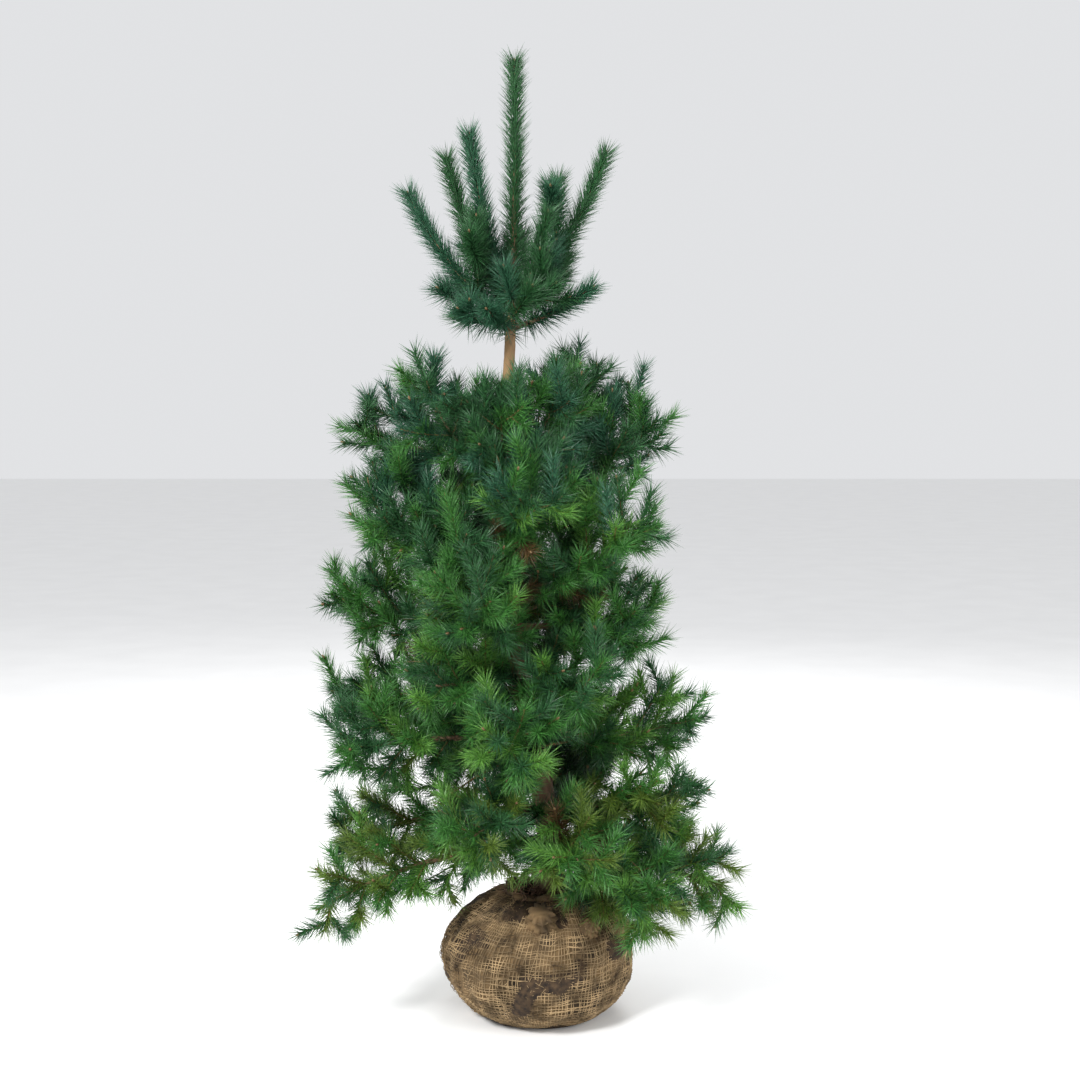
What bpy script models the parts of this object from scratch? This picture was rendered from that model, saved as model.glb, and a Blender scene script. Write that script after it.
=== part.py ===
"""A young Scots pine lifted from the nursery row, standing on its burlap-wrapped root ball.

Metres, +Z up. The origin is the middle of the root ball's flat underside, +X is to the right and -Y
faces the viewer. The trunk rises from the soil through whorls of boughs. Each bough is a bare limb
that ends where its mass of needled shoots begins. The leader stands on the trunk's tip, and the top,
upper and inner shoots are masses that stand on the trunk itself, each cut back to meet its bark.
"""

import math
import random

import bmesh
import bpy
from mathutils import Vector, noise
from mathutils.bvhtree import BVHTree

GAP = 0.0003
UP = Vector((0, 0, 1))

# Root ball: a squat lump of soil with a flat underside and a small flat pad under the trunk
BALL_RADIUS = 0.235
BALL_SHIFT = -0.008
PAD_SHIFT = 0.014
BALL_MIDDLE = 0.132
BALL_ROUNDNESS = 0.82
BALL_FOOT_ANGLE = math.radians(-58)
BALL_PAD_ANGLE = math.radians(71)
BALL_SIDES = 24
BALL_RINGS = 10
BALL_LUMP = 0.011
BALL_LUMP_SCALE = 9.0
BALL_FOOT_FADE = 0.05
BALL_PAD_FADE = 0.03
SOIL_LEVEL = 0.300
KNOTS = (  # direction round the ball in degrees, height, radius of the bunched cloth
    (267, 0.262, 0.040),
    (306, 0.240, 0.026),
    (92, 0.262, 0.038),
)
KNOT_FLATNESS = 0.85
KNOT_CREASE = 0.22
KNOT_CREASE_SCALE = 40.0

# Trunk: its lean leads left from the ball and comes back a little at the top
TRUNK_FOOT_X = 0.030
TRUNK_LEAN = -0.115
TRUNK_LEAN_HEIGHT = 0.85
TRUNK_RETURN = 0.022
TRUNK_RETURN_START = 1.35
TRUNK_RETURN_HEIGHT = 0.55
TRUNK_WAVE = 0.012
TRUNK_WAVE_RATE = 3.3
TRUNK_TIP = 1.762
TRUNK_FOOT_RADIUS = 0.0300
TRUNK_TIP_RADIUS = 0.0115
FLARE = 0.018
FLARE_HEIGHT = 0.035
FLARE_ROOTS = 5
FLARE_LOBE = 0.16
FLARE_TURN = 0.6
TRUNK_SIDES = 10
TRUNK_RINGS = 20
RING_CROWDING = 1.25

# Boughs, whorl by whorl from the top: height on the trunk, direction in degrees (0 is right, 90 is
# away from the viewer), reach of the tip from the trunk, rise of the tip, and rise of the limb's bend
BOUGHS = (
    (1.220, 5, 0.330, 0.230, 0.045),
    (1.175, 284, 0.270, 0.125, 0.020),
    (1.180, 200, 0.320, 0.045, 0.010),
    (1.020, 327, 0.345, 0.205, 0.030),
    (0.975, 176, 0.395, 0.030, -0.020),
    (0.955, 352, 0.305, 0.000, 0.020),
    (0.960, 252, 0.310, 0.090, 0.010),
    (0.735, 168, 0.465, 0.045, 0.000),
    (0.690, 200, 0.485, 0.000, 0.010),
    (0.705, 5, 0.365, 0.010, -0.050),
    (0.720, 262, 0.320, -0.005, 0.010),
    (0.500, 178, 0.500, -0.085, 0.010),
    (0.520, 343, 0.330, 0.000, 0.000),
    (0.515, 240, 0.330, -0.005, 0.010),
    (0.420, 197, 0.575, -0.115, 0.010),
    (0.435, 352, 0.430, -0.105, -0.065),
    (0.378, 316, 0.330, -0.050, 0.020),
)
BEND_AT = 0.56
BOUGH_SIDES = 5
BOUGH_STEP = 0.060
BOUGH_THICKNESS = 0.0155
THICKNESS_BY_REACH = (0.42, 0.75)
THICKNESS_BY_HEIGHT = (1.12, 0.86)
CROWN_FOOT = 0.4
BOUGH_TIP_SHARE = 0.48
COLLAR = 1.35
COLLAR_LENGTH = 0.020
LIMB_SHARE = 0.34

# Shoots that stand on the trunk itself, as direction, height, reach and rise of the tip, and how many
# side shoots the first and the second whorl of each one carries: the top whorl, then the next one
TOP_SHOOTS = (
    (188, 1.738, 0.102, 0.402, 0, 0),
    (152, 1.720, 0.180, 0.380, 0, 0),
    (178, 1.705, 0.245, 0.300, 2, 0),
    (6, 1.735, 0.226, 0.368, 0, 1),
    (308, 1.712, 0.138, 0.235, 1, 0),
    (338, 1.688, 0.205, 0.090, 1, 0),
    (255, 1.692, 0.200, 0.030, 2, 0),
    (80, 1.706, 0.160, 0.220, 2, 0),
)
LEADER_LENGTH = 0.582
LEADER_SWAY = 0.006
LEADER_ROOT = 0.0098
UPPER_SHOOTS = (
    (170, 1.375, 0.340, 0.060, 3, 2),
    (214, 1.350, 0.210, 0.185, 3, 2),
    (268, 1.335, 0.165, 0.145, 2, 1),
    (318, 1.365, 0.165, 0.160, 3, 1),
    (24, 1.370, 0.235, 0.190, 3, 2),
    (112, 1.345, 0.200, 0.020, 3, 2),
)
INNER_SHOOTS = (
    (98, 1.210, 0.300, 0.110, 3, 3),
    (240, 1.120, 0.250, 0.030, 2, 2),
    (62, 0.985, 0.330, 0.060, 3, 3),
    (304, 0.830, 0.270, 0.000, 3, 2),
    (230, 0.840, 0.300, 0.010, 3, 2),
    (116, 0.780, 0.350, 0.060, 3, 3),
    (70, 0.560, 0.360, 0.030, 3, 3),
    (284, 0.460, 0.290, -0.010, 3, 2),
    (134, 0.610, 0.360, 0.020, 3, 3),
)
TRUNK_SHOOTS = (
    ("top_shoot", TOP_SHOOTS),
    ("upper_shoot", UPPER_SHOOTS),
    ("inner_shoot", INNER_SHOOTS),
)

# Sprays: a slim three-sided core that flat needle teeth stand out of, one on each of its facets
NEEDLE = 0.080
LEADER_NEEDLE = 0.062
TOOTH_STEP = 0.050
TOP_TOOTH_STEP = 0.042
SPREAD = (math.radians(66), math.radians(34), 1.0)
LEADER_SPREAD = (math.radians(33), math.radians(33), 1.0)
TOP_SPREAD = (math.radians(100), math.radians(30), 0.45)
CORE_RADIUS = 0.0066
CORE_TIP_RADIUS = 0.0030
TIP_BUNCH = 0.7
LEAN_RANGE = (0.88, 1.10)
NEEDLE_RANGE = (0.86, 1.05)
# Stem radius, place of the bend, places of the whorls, spacing, needle length and spread
TOP_STYLE = (0.0062, (0.62, 0.34), (0.24, 0.45), TOP_TOOTH_STEP, LEADER_NEEDLE, TOP_SPREAD)
LONG_STYLE = (0.0078, (0.66, 0.10), (0.30, 0.62), TOOTH_STEP, NEEDLE, SPREAD)

SIDE_SPREAD = math.radians(52)
SIDE_LENGTH = 0.150
SIDE_RANGE = (0.90, 1.08)
SIDE_RISE = 0.18
SIDE_BEND = 0.55
SIDE_REACH = 0.93
SIDE_ROOT = 0.0026
SIDE_CORE_SHARE = 0.86
WHORL_START = 0.35
WHORL_END = 1.15
WHORL_STAGGER = 0.32
WHORL_JITTER = 0.12
TRUNK_WHORL_SCALES = (0.90, 0.75)
WHORLS_IN_MASS = ((0.06, 3, 1.00), (0.36, 2, 0.95), (0.66, 2, 0.70))
LIFT_TOP = 0.34
LIFT_FOOT = -0.02
LIFT_HEIGHT = 0.9
GUARD = 0.0012
TOOTH_FOOT = 0.12
TRIES = 4
TRY_TURN = 0.45
SHARP_EDGE = math.radians(50)

SEED = 41


def blend(a, b, share):
    return a + (b - a) * share


def smooth(share):
    share = min(1.0, max(0.0, share))
    return share * share * (3 - 2 * share)


def trunk_centre(height):
    above = height - SOIL_LEVEL
    x = TRUNK_FOOT_X + TRUNK_LEAN * smooth(above / TRUNK_LEAN_HEIGHT)
    x += TRUNK_RETURN * smooth((height - TRUNK_RETURN_START) / TRUNK_RETURN_HEIGHT)
    y = TRUNK_WAVE * math.sin(above * TRUNK_WAVE_RATE)
    return Vector((x, y, height))


def trunk_radius(height):
    share = (height - SOIL_LEVEL) / (TRUNK_TIP - SOIL_LEVEL)
    return blend(TRUNK_FOOT_RADIUS, TRUNK_TIP_RADIUS, share)


def curve(start, bend, end, share):
    """A point of the smooth curve from start to end that bends towards a third point."""
    return (
        start * (1 - share) ** 2
        + bend * (2 * share * (1 - share))
        + end * share**2
    )


def points_on(start, bend, end, first, last, step):
    rough = sum(
        (
            curve(start, bend, end, blend(first, last, (i + 1) / 8))
            - curve(start, bend, end, blend(first, last, i / 8))
        ).length
        for i in range(8)
    )
    count = max(3, round(rough / step))
    return [
        curve(start, bend, end, blend(first, last, i / count)) for i in range(count + 1)
    ]


def heading(start, bend, end, share):
    """The direction in which that curve runs at a point of it."""
    return ((bend - start) * (1 - share) + (end - bend) * share).normalized()


def frames(points, first=None, last=None):
    """A tangent and two cross directions at each point, carried along the line without twisting. The
    end faces can be given a tangent of their own, so that two lines meet face to face."""
    found = []
    side = None
    for i, point in enumerate(points):
        before = points[max(0, i - 1)]
        after = points[min(len(points) - 1, i + 1)]
        tangent = (after - before).normalized()
        if i == 0 and first:
            tangent = first
        if i == len(points) - 1 and last:
            tangent = last
        if side is None:
            side = tangent.orthogonal().normalized()
        side = (side - tangent * side.dot(tangent)).normalized()
        found.append((tangent, side, tangent.cross(side)))
    return found


def tube(points, radii, sides, lobes=None, last=None):
    """Corners and faces of a closed tapering limb. lobes widens single corners, as root flare does."""
    corners = []
    for i, (point, (_, side, other)) in enumerate(zip(points, frames(points, last=last))):
        for j in range(sides):
            turn = 2 * math.pi * j / sides
            radius = radii[i] * (lobes(i, turn) if lobes else 1.0)
            corners.append(
                point + side * (radius * math.cos(turn)) + other * (radius * math.sin(turn))
            )
    faces = []
    for i in range(len(points) - 1):
        for j in range(sides):
            k = (j + 1) % sides
            faces.append(
                (i * sides + j, i * sides + k, (i + 1) * sides + k, (i + 1) * sides + j)
            )
    last = (len(points) - 1) * sides
    faces.append(tuple(reversed(range(sides))))
    faces.append(tuple(range(last, last + sides)))
    return corners, faces


class Spray:
    """A needled shoot: a stack of three-cornered rings, each turned a sixth of the way round from the
    last, whose facets each carry one needle tooth that leans out and forward."""

    def __init__(self, points, root, radius, bare, needle, spread, rng, first=None):
        self.points = points
        self.directions = frames(points, first)
        self.bare = bare
        self.corners = []
        self.facets = []
        for i, (point, (_, side, other)) in enumerate(zip(points, self.directions)):
            size = root if i == 0 else blend(radius, CORE_TIP_RADIUS, i / (len(points) - 1))
            for j in range(3):
                turn = 2 * math.pi * (j + i / 2) / 3
                self.corners.append(
                    point + side * (size * math.cos(turn)) + other * (size * math.sin(turn))
                )
        for i in range(len(points) - 1):
            for j in range(3):
                low, low_next = 3 * i + j, 3 * i + (j + 1) % 3
                for facet in ((low, low_next, low + 3), (low + 3, low_next, low_next + 3)):
                    apex = self.needle_end(facet, i, needle, spread, rng)
                    self.facets.append([facet, None if i < bare else apex])
        self.tip = points[-1] + self.directions[-1][0] * (needle * TIP_BUNCH)
        self.cap = 3 * (len(points) - 1)

    def needle_end(self, facet, i, needle, spread, rng):
        middle = self.middle(facet)
        tangent = self.directions[i][0]
        outward = middle - self.points[i]
        outward = (outward - tangent * outward.dot(tangent)).normalized()
        share = i / max(1, len(self.points) - 2)
        lean = blend(spread[0], spread[1], smooth(share / spread[2])) * rng.uniform(*LEAN_RANGE)
        length = needle * rng.uniform(*NEEDLE_RANGE)
        return middle + (outward * math.sin(lean) + tangent * math.cos(lean)) * length

    def middle(self, facet):
        return sum((self.corners[c] for c in facet), Vector()) / 3

    def closed(self, corners, faces, first=0):
        """The given sides with a root face and the bunch of needles at the tip."""
        corners.append(self.tip)
        tip = len(corners) - 1
        faces = faces + [(first * 3 + 2, first * 3 + 1, first * 3)]
        faces += [(self.cap + j, self.cap + (j + 1) % 3, tip) for j in range(3)]
        return corners, faces

    def core(self, first=0):
        """The shoot without its teeth, from the given ring on."""
        faces = [facet for facet, _ in self.facets[6 * first :]]
        return self.closed(list(self.corners), faces, first)

    def teeth(self, foot=0.0):
        """Every tooth a little enlarged, for testing what it would touch, and its facet's number. A
        foot of more than nothing leaves out that share of each tooth, next to the core."""
        corners, faces, owners = [], [], []
        for number, (facet, apex) in enumerate(self.facets):
            if apex is None:
                continue
            middle = self.middle(facet)
            start = len(corners)
            for c in facet:
                out = self.corners[c] - middle
                corners.append(self.corners[c].lerp(apex, foot) + out.normalized() * GUARD)
            corners.append(apex + (apex - middle).normalized() * GUARD)
            for a, b in ((0, 1), (1, 2), (2, 0)):
                faces.append((start + a, start + b, start + 3))
                owners.append(number)
        return corners, faces, owners

    def drop(self, numbers):
        for number in numbers:
            self.facets[number][1] = None

    def drop_crossing(self):
        """Drops each tooth that would cross another of the same shoot, or its core where that bends."""
        corners, faces, owners = self.teeth(TOOTH_FOOT)
        if not faces:
            return
        tree = BVHTree.FromPolygons(corners, faces)
        core = BVHTree.FromPolygons(*self.core())
        crossing = {owners[a] for a, _ in tree.overlap(core)}
        for a, b in sorted(tree.overlap(tree)):
            first, second = owners[a], owners[b]
            if first < second and not crossing & {first, second}:
                crossing.add(second)
        self.drop(crossing)

    def solid(self):
        corners, faces = list(self.corners), []
        for facet, apex in self.facets:
            if apex is None:
                faces.append(facet)
                continue
            corners.append(apex)
            top = len(corners) - 1
            for a, b in ((0, 1), (1, 2), (2, 0)):
                faces.append((facet[a], facet[b], top))
        return self.closed(corners, faces)


class Box:
    """What a solid fills: its search tree and its limits."""

    def __init__(self, corners, faces):
        self.tree = BVHTree.FromPolygons(corners, faces)
        self.low = Vector(min(c[i] for c in corners) for i in range(3))
        self.high = Vector(max(c[i] for c in corners) for i in range(3))

    def may_meet(self, other):
        return all(
            self.low[i] <= other.high[i] and other.low[i] <= self.high[i] for i in range(3)
        )


def teeth_that_touch(spray, filled):
    corners, faces, owners = spray.teeth()
    if not faces:
        return set()
    mine = Box(corners, faces)
    hit = set()
    for other in filled:
        if mine.may_meet(other):
            hit |= {owners[a] for a, _ in mine.tree.overlap(other.tree)}
    return hit


def core_touches(spray, filled):
    mine = Box(*spray.core())
    return any(mine.may_meet(other) and mine.tree.overlap(other.tree) for other in filled)


def material(name, colour, roughness):
    made = bpy.data.materials.new(name)
    made.use_nodes = True
    shader = made.node_tree.nodes["Principled BSDF"]
    shader.inputs["Base Color"].default_value = (*colour, 1)
    shader.inputs["Roughness"].default_value = roughness
    shader.inputs["Metallic"].default_value = 0.0
    made.diffuse_color = (*colour, 1)
    return made


def add_object(name, corners, faces, finish):
    mesh = bpy.data.meshes.new(name)
    mesh.from_pydata([tuple(c) for c in corners], [], faces)
    mesh.materials.append(finish)
    mesh.validate()
    made = bpy.data.objects.new(name, mesh)
    bpy.context.scene.collection.objects.link(made)
    return made


def shade_round(made):
    made.data.shade_smooth()
    made.data.set_sharp_from_angle(angle=SHARP_EDGE)


def as_helper(made):
    made.hide_render = True
    made.display_type = "WIRE"


def join(name, shapes, finish):
    """One closed body from several that are sunk into each other."""
    whole = add_object(name, *shapes[0], finish)
    if len(shapes) == 1:
        return whole
    parts = bpy.data.collections.new(name + "_parts")
    bpy.context.scene.collection.children.link(parts)
    for corners, faces in shapes[1:]:
        piece = add_object(name + "_piece", corners, faces, finish)
        bpy.context.scene.collection.objects.unlink(piece)
        parts.objects.link(piece)
    union = whole.modifiers.new("Join", "BOOLEAN")
    union.operation = "UNION"
    union.operand_type = "COLLECTION"
    union.collection = parts
    union.solver = "EXACT"
    graph = bpy.context.evaluated_depsgraph_get()
    joined = bpy.data.meshes.new_from_object(whole.evaluated_get(graph))
    whole.modifiers.remove(union)
    whole.data = joined
    for piece in list(parts.objects):
        bpy.data.objects.remove(piece)
    bpy.data.collections.remove(parts)
    return whole


def cut(made, cutter):
    difference = made.modifiers.new("Meet the trunk", "BOOLEAN")
    difference.operation = "DIFFERENCE"
    difference.object = cutter
    difference.solver = "EXACT"


def ball_point(angle, turn):
    size = BALL_RADIUS * math.cos(angle) ** BALL_ROUNDNESS
    if angle < 0:
        height = BALL_MIDDLE * (1 - math.sin(angle) / math.sin(BALL_FOOT_ANGLE))
    else:
        above = SOIL_LEVEL - BALL_MIDDLE
        height = BALL_MIDDLE + above * math.sin(angle) / math.sin(BALL_PAD_ANGLE)
    rise = smooth((height - BALL_MIDDLE) / (SOIL_LEVEL - BALL_MIDDLE))
    shift = blend(BALL_SHIFT, PAD_SHIFT, rise) * min(1.0, height / BALL_FOOT_FADE)
    around = Vector((math.cos(turn), math.sin(turn), 0))
    point = around * size + Vector((shift, 0, height))
    fade = min(1.0, height / BALL_FOOT_FADE, (SOIL_LEVEL - height) / BALL_PAD_FADE)
    lump = noise.noise(point * BALL_LUMP_SCALE + Vector((3.1, 0.7, 5.2)))
    return point + around * (BALL_LUMP * lump * fade)


def root_ball(finish):
    corners, faces = [], []
    for i in range(BALL_RINGS):
        angle = blend(BALL_FOOT_ANGLE, BALL_PAD_ANGLE, i / (BALL_RINGS - 1))
        corners += [
            ball_point(angle, 2 * math.pi * j / BALL_SIDES) for j in range(BALL_SIDES)
        ]
    for i in range(BALL_RINGS - 1):
        for j in range(BALL_SIDES):
            k = (j + 1) % BALL_SIDES
            low, high = i * BALL_SIDES, (i + 1) * BALL_SIDES
            faces.append((low + j, low + k, high + k, high + j))
    last = (BALL_RINGS - 1) * BALL_SIDES
    faces.append(tuple(reversed(range(BALL_SIDES))))
    faces.append(tuple(range(last, last + BALL_SIDES)))
    shapes = [(corners, faces)]
    for direction, height, size in KNOTS:
        shapes.append(knot(math.radians(direction), height, size))
    ball = join("root_ball", shapes, finish)
    shade_round(ball)
    return ball


def knot(turn, height, size):
    """A bunch of burlap where two corners of the cloth are tied over the ball's shoulder."""
    made = bmesh.new()
    bmesh.ops.create_icosphere(made, subdivisions=1, radius=size)
    rise = math.asin((height - BALL_MIDDLE) / (SOIL_LEVEL - BALL_MIDDLE))
    middle = ball_point(rise, turn)
    corners = []
    for vertex in made.verts:
        crease = noise.noise(vertex.co * KNOT_CREASE_SCALE + middle * BALL_LUMP_SCALE)
        out = Vector((vertex.co.x, vertex.co.y, vertex.co.z * KNOT_FLATNESS))
        corners.append(middle + out * (1 + KNOT_CREASE * crease))
    faces = [tuple(v.index for v in face.verts) for face in made.faces]
    made.free()
    return corners, faces


def trunk_shape(grow=0.0):
    points, radii = [], []
    for i in range(TRUNK_RINGS):
        share = i / (TRUNK_RINGS - 1)
        height = blend(SOIL_LEVEL + GAP, TRUNK_TIP, share**RING_CROWDING)
        points.append(trunk_centre(height))
        flare = FLARE * math.exp(-(height - SOIL_LEVEL) / FLARE_HEIGHT)
        radii.append(trunk_radius(height) + flare + grow)

    def lobes(i, turn):
        flare = math.exp(-(points[i].z - SOIL_LEVEL) / FLARE_HEIGHT)
        return 1 + FLARE_LOBE * flare * math.cos(FLARE_ROOTS * turn + FLARE_TURN)

    corners, faces = tube(points, radii, TRUNK_SIDES, lobes)
    for j in range(TRUNK_SIDES):
        corners[j].z = SOIL_LEVEL + GAP - grow
        corners[-1 - j].z = TRUNK_TIP + grow
    return corners, faces


def outward(direction):
    turn = math.radians(direction)
    return Vector((math.cos(turn), math.sin(turn), 0))


def bough_curve(height, direction, reach, rise, dip):
    out = outward(direction)
    start = trunk_centre(height)
    bend = start + out * (reach * BEND_AT) + UP * dip
    return start, bend, start + out * reach + UP * rise


def lift_at(height):
    return blend(LIFT_FOOT, LIFT_TOP, smooth((height - CROWN_FOOT) / LIFT_HEIGHT))


def limb_radius(height, reach):
    by_reach = THICKNESS_BY_REACH[0] + THICKNESS_BY_REACH[1] * reach
    by_height = blend(*THICKNESS_BY_HEIGHT, smooth(height - CROWN_FOOT))
    return BOUGH_THICKNESS * by_reach * by_height


def bough_shape(row):
    height, _, reach, _, _ = row
    start, bend, end = bough_curve(*row)
    points = points_on(start, bend, end, 0.0, LIMB_SHARE, BOUGH_STEP)
    root = limb_radius(height, reach)
    radii = []
    for point in points:
        along = (point - start).length
        radius = blend(root, root * BOUGH_TIP_SHARE, along / (points[-1] - start).length)
        skin = along - trunk_radius(height)
        collar = (COLLAR - 1) * math.exp(-max(0.0, skin) / COLLAR_LENGTH)
        radii.append(radius * (1 + collar))
    return tube(points, radii, BOUGH_SIDES, last=heading(start, bend, end, LIMB_SHARE))


def side_line(rng, start, tangent, side, other, turn, length, spread, lift):
    out = side * math.cos(turn) + other * math.sin(turn)
    heading = tangent * math.cos(spread) + out * math.sin(spread)
    length *= (1 + SIDE_RISE * heading.z) * rng.uniform(*SIDE_RANGE)
    bend = start + heading * (length * SIDE_BEND)
    end = start + heading * (length * SIDE_REACH) + UP * (lift * length)
    return points_on(start, bend, end, 0.0, 1.0, TOOTH_STEP)


def side_shoots(rng, line, whorls, length, lift, filled, needle):
    """The side shoots of a needled stem, a whorl of them at each given share of its length. A shoot
    whose core would meet something is turned round the stem a few times and then left out."""
    directions = frames(line)
    made = []
    for share, count, scale in whorls:
        place = max(WHORL_START, share * (len(line) - 1))
        first = rng.uniform(0, 2 * math.pi)
        for j in range(count):
            along = min(len(line) - WHORL_END, place + j * WHORL_STAGGER)
            i = int(along)
            root = line[i].lerp(line[i + 1], along - i)
            tangent, side, other = directions[i]
            jitter = rng.uniform(-WHORL_JITTER, WHORL_JITTER)
            turn = first + 2 * math.pi * (j + jitter) / count
            for attempt in range(TRIES):
                points = side_line(
                    rng, root, tangent, side, other, turn + attempt * TRY_TURN,
                    length * scale, SIDE_SPREAD, lift,
                )
                radius = CORE_RADIUS * SIDE_CORE_SHARE
                spray = Spray(points, SIDE_ROOT, radius, 1, needle, SPREAD, rng)
                beyond = [Box(*earlier.core(1)) for earlier in made]
                if not core_touches(spray, filled + beyond):
                    made.append(spray)
                    break
    return made


def thin_out(sprays, filled):
    """Drops each tooth that would touch a limb, another mass or another spray of this one."""
    cores = [Box(*spray.core()) for spray in sprays]
    kept = []
    for number, spray in enumerate(sprays):
        spray.drop_crossing()
        others = cores[:number] + cores[number + 1 :]
        spray.drop(teeth_that_touch(spray, filled + others + kept))
        corners, faces, _ = spray.teeth()
        if faces:
            kept.append(Box(corners, faces))


def filled_by(made):
    corners = [v.co.copy() for v in made.data.vertices]
    return Box(corners, [tuple(p.vertices) for p in made.data.polygons])


class Mass:
    """A needled stem and what it takes to grow its side shoots."""

    def __init__(self, name, stem, whorls, lift, needle, rng, meets_trunk):
        self.name = name
        self.stem = stem
        self.whorls = whorls
        self.lift = lift
        self.needle = needle
        self.rng = rng
        self.meets_trunk = meets_trunk
        self.core = Box(*stem.core())

    def grow(self, filled, finish):
        """The stem and its side shoots, each sunk into the stem, joined to one body."""
        sprays = [self.stem]
        sprays += side_shoots(
            self.rng, self.stem.points, self.whorls, SIDE_LENGTH, self.lift, filled, self.needle
        )
        thin_out(sprays, filled)
        return join(self.name, [spray.solid() for spray in sprays], finish)


def leader():
    rng = random.Random(SEED)
    foot = trunk_centre(TRUNK_TIP) + UP * (2 * GAP)
    end = foot + UP * (LEADER_LENGTH - LEADER_NEEDLE * TIP_BUNCH) + Vector((LEADER_SWAY, 0, 0))
    bend = (foot + end) / 2 + Vector((LEADER_SWAY, 0, 0))
    line = points_on(foot, bend, end, 0.0, 1.0, TOP_TOOTH_STEP)
    stem = Spray(line, LEADER_ROOT, LEADER_ROOT, 0, LEADER_NEEDLE, LEADER_SPREAD, rng, UP)
    return Mass("leader_shoot", stem, (), 0.0, LEADER_NEEDLE, rng, False)


def trunk_mass(name, row, style, rng):
    """A mass whose stem starts inside the trunk and is cut back to meet its bark."""
    direction, height, reach, rise, first_count, second_count = row
    radius, bend_at, whorl_shares, step, needle, spread = style
    out = outward(direction)
    start = trunk_centre(height)
    bend = start + out * (reach * bend_at[0]) + UP * (rise * bend_at[1])
    line = points_on(start, bend, start + out * reach + UP * rise, 0.0, 1.0, step)
    stem = Spray(line, radius, radius, 1, needle, spread, rng)
    whorls = (
        (whorl_shares[0], first_count, TRUNK_WHORL_SCALES[0]),
        (whorl_shares[1], second_count, TRUNK_WHORL_SCALES[1]),
    )
    return Mass(name, stem, whorls, lift_at(height), needle, rng, True)


def bough_mass(name, row, rng):
    """A mass whose stem carries on from the flat tip of its bough."""
    height, _, reach, _, _ = row
    start, bend, end = bough_curve(*row)
    line = points_on(start, bend, end, LIMB_SHARE, 1.0, TOOTH_STEP)
    first = heading(start, bend, end, LIMB_SHARE)
    line[0] = line[0] + first * GAP
    radius = max(CORE_RADIUS, limb_radius(height, reach) * BOUGH_TIP_SHARE)
    stem = Spray(line, radius, radius, 1, NEEDLE, SPREAD, rng, first)
    return Mass(name, stem, WHORLS_IN_MASS, lift_at(height), NEEDLE, rng, False)


def all_masses():
    masses = [leader()]
    for kind, (name, rows) in enumerate(TRUNK_SHOOTS):
        style = TOP_STYLE if rows is TOP_SHOOTS else LONG_STYLE
        for number, row in enumerate(rows):
            rng = random.Random(SEED + 100 * (kind + 1) + number)
            masses.append(trunk_mass(f"{name}_{number + 1}", row, style, rng))
    for number, row in enumerate(BOUGHS):
        masses.append(bough_mass(f"needles_{number + 1:02d}", row, random.Random(SEED + number)))
    return masses


def build_crown(filled, bark, needles, cutter):
    for number, row in enumerate(BOUGHS):
        corners, faces = bough_shape(row)
        made = add_object(f"bough_{number + 1:02d}", corners, faces, bark)
        shade_round(made)
        cut(made, cutter)
        filled.append(Box(corners, faces))
    masses = all_masses()
    for number, mass in enumerate(masses):
        later_stems = [other.core for other in masses[number + 1 :]]
        made = mass.grow(filled + later_stems, needles)
        filled.append(filled_by(made))
        if mass.meets_trunk:
            cut(made, cutter)


def main():
    for old in list(bpy.data.objects):
        bpy.data.objects.remove(old)
    burlap = material("burlap and soil", (0.30, 0.22, 0.12), 0.95)
    bark = material("pine bark", (0.26, 0.17, 0.10), 0.85)
    needles = material("pine needles", (0.07, 0.22, 0.10), 0.55)
    ball = root_ball(burlap)
    corners, faces = trunk_shape()
    shade_round(add_object("trunk", corners, faces, bark))
    cutter = add_object("trunk_clearance", *trunk_shape(GAP), bark)
    as_helper(cutter)
    filled = [Box(corners, faces), filled_by(ball)]
    build_crown(filled, bark, needles, cutter)


main()
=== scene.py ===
# %% [markdown]
# # A young Scots pine on its wrapped root ball
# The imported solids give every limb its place. This lesson dresses them: bark with real relief, shoots
# that branch on by the same rule as the solids, about two hundred thousand needles set along the shoots by
# Geometry Nodes, and a ball of soil in coarse burlap.

# %% Load the frame
import math
import random
from collections import namedtuple

import bmesh
import bpy
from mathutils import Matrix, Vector, noise


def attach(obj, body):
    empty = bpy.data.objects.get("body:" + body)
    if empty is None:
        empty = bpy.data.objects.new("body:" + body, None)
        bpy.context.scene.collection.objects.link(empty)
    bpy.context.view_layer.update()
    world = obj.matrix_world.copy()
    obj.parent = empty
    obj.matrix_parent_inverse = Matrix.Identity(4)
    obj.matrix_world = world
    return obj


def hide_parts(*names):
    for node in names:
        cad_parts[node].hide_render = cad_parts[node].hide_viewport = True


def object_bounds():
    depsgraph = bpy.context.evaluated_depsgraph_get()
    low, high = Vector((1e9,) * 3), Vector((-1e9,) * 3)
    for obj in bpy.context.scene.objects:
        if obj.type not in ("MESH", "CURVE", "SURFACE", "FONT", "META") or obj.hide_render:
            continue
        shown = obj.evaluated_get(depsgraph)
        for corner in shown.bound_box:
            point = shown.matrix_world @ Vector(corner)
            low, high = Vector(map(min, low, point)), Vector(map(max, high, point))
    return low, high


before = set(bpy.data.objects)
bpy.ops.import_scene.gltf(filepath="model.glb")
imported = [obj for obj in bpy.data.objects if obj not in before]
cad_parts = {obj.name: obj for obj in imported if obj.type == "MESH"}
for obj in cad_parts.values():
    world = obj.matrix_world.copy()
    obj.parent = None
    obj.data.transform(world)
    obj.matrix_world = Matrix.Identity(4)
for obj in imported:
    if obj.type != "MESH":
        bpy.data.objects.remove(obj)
cad_box = [list(corner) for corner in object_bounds()]
print("solids:", len(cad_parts), "box:", cad_box)

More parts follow.
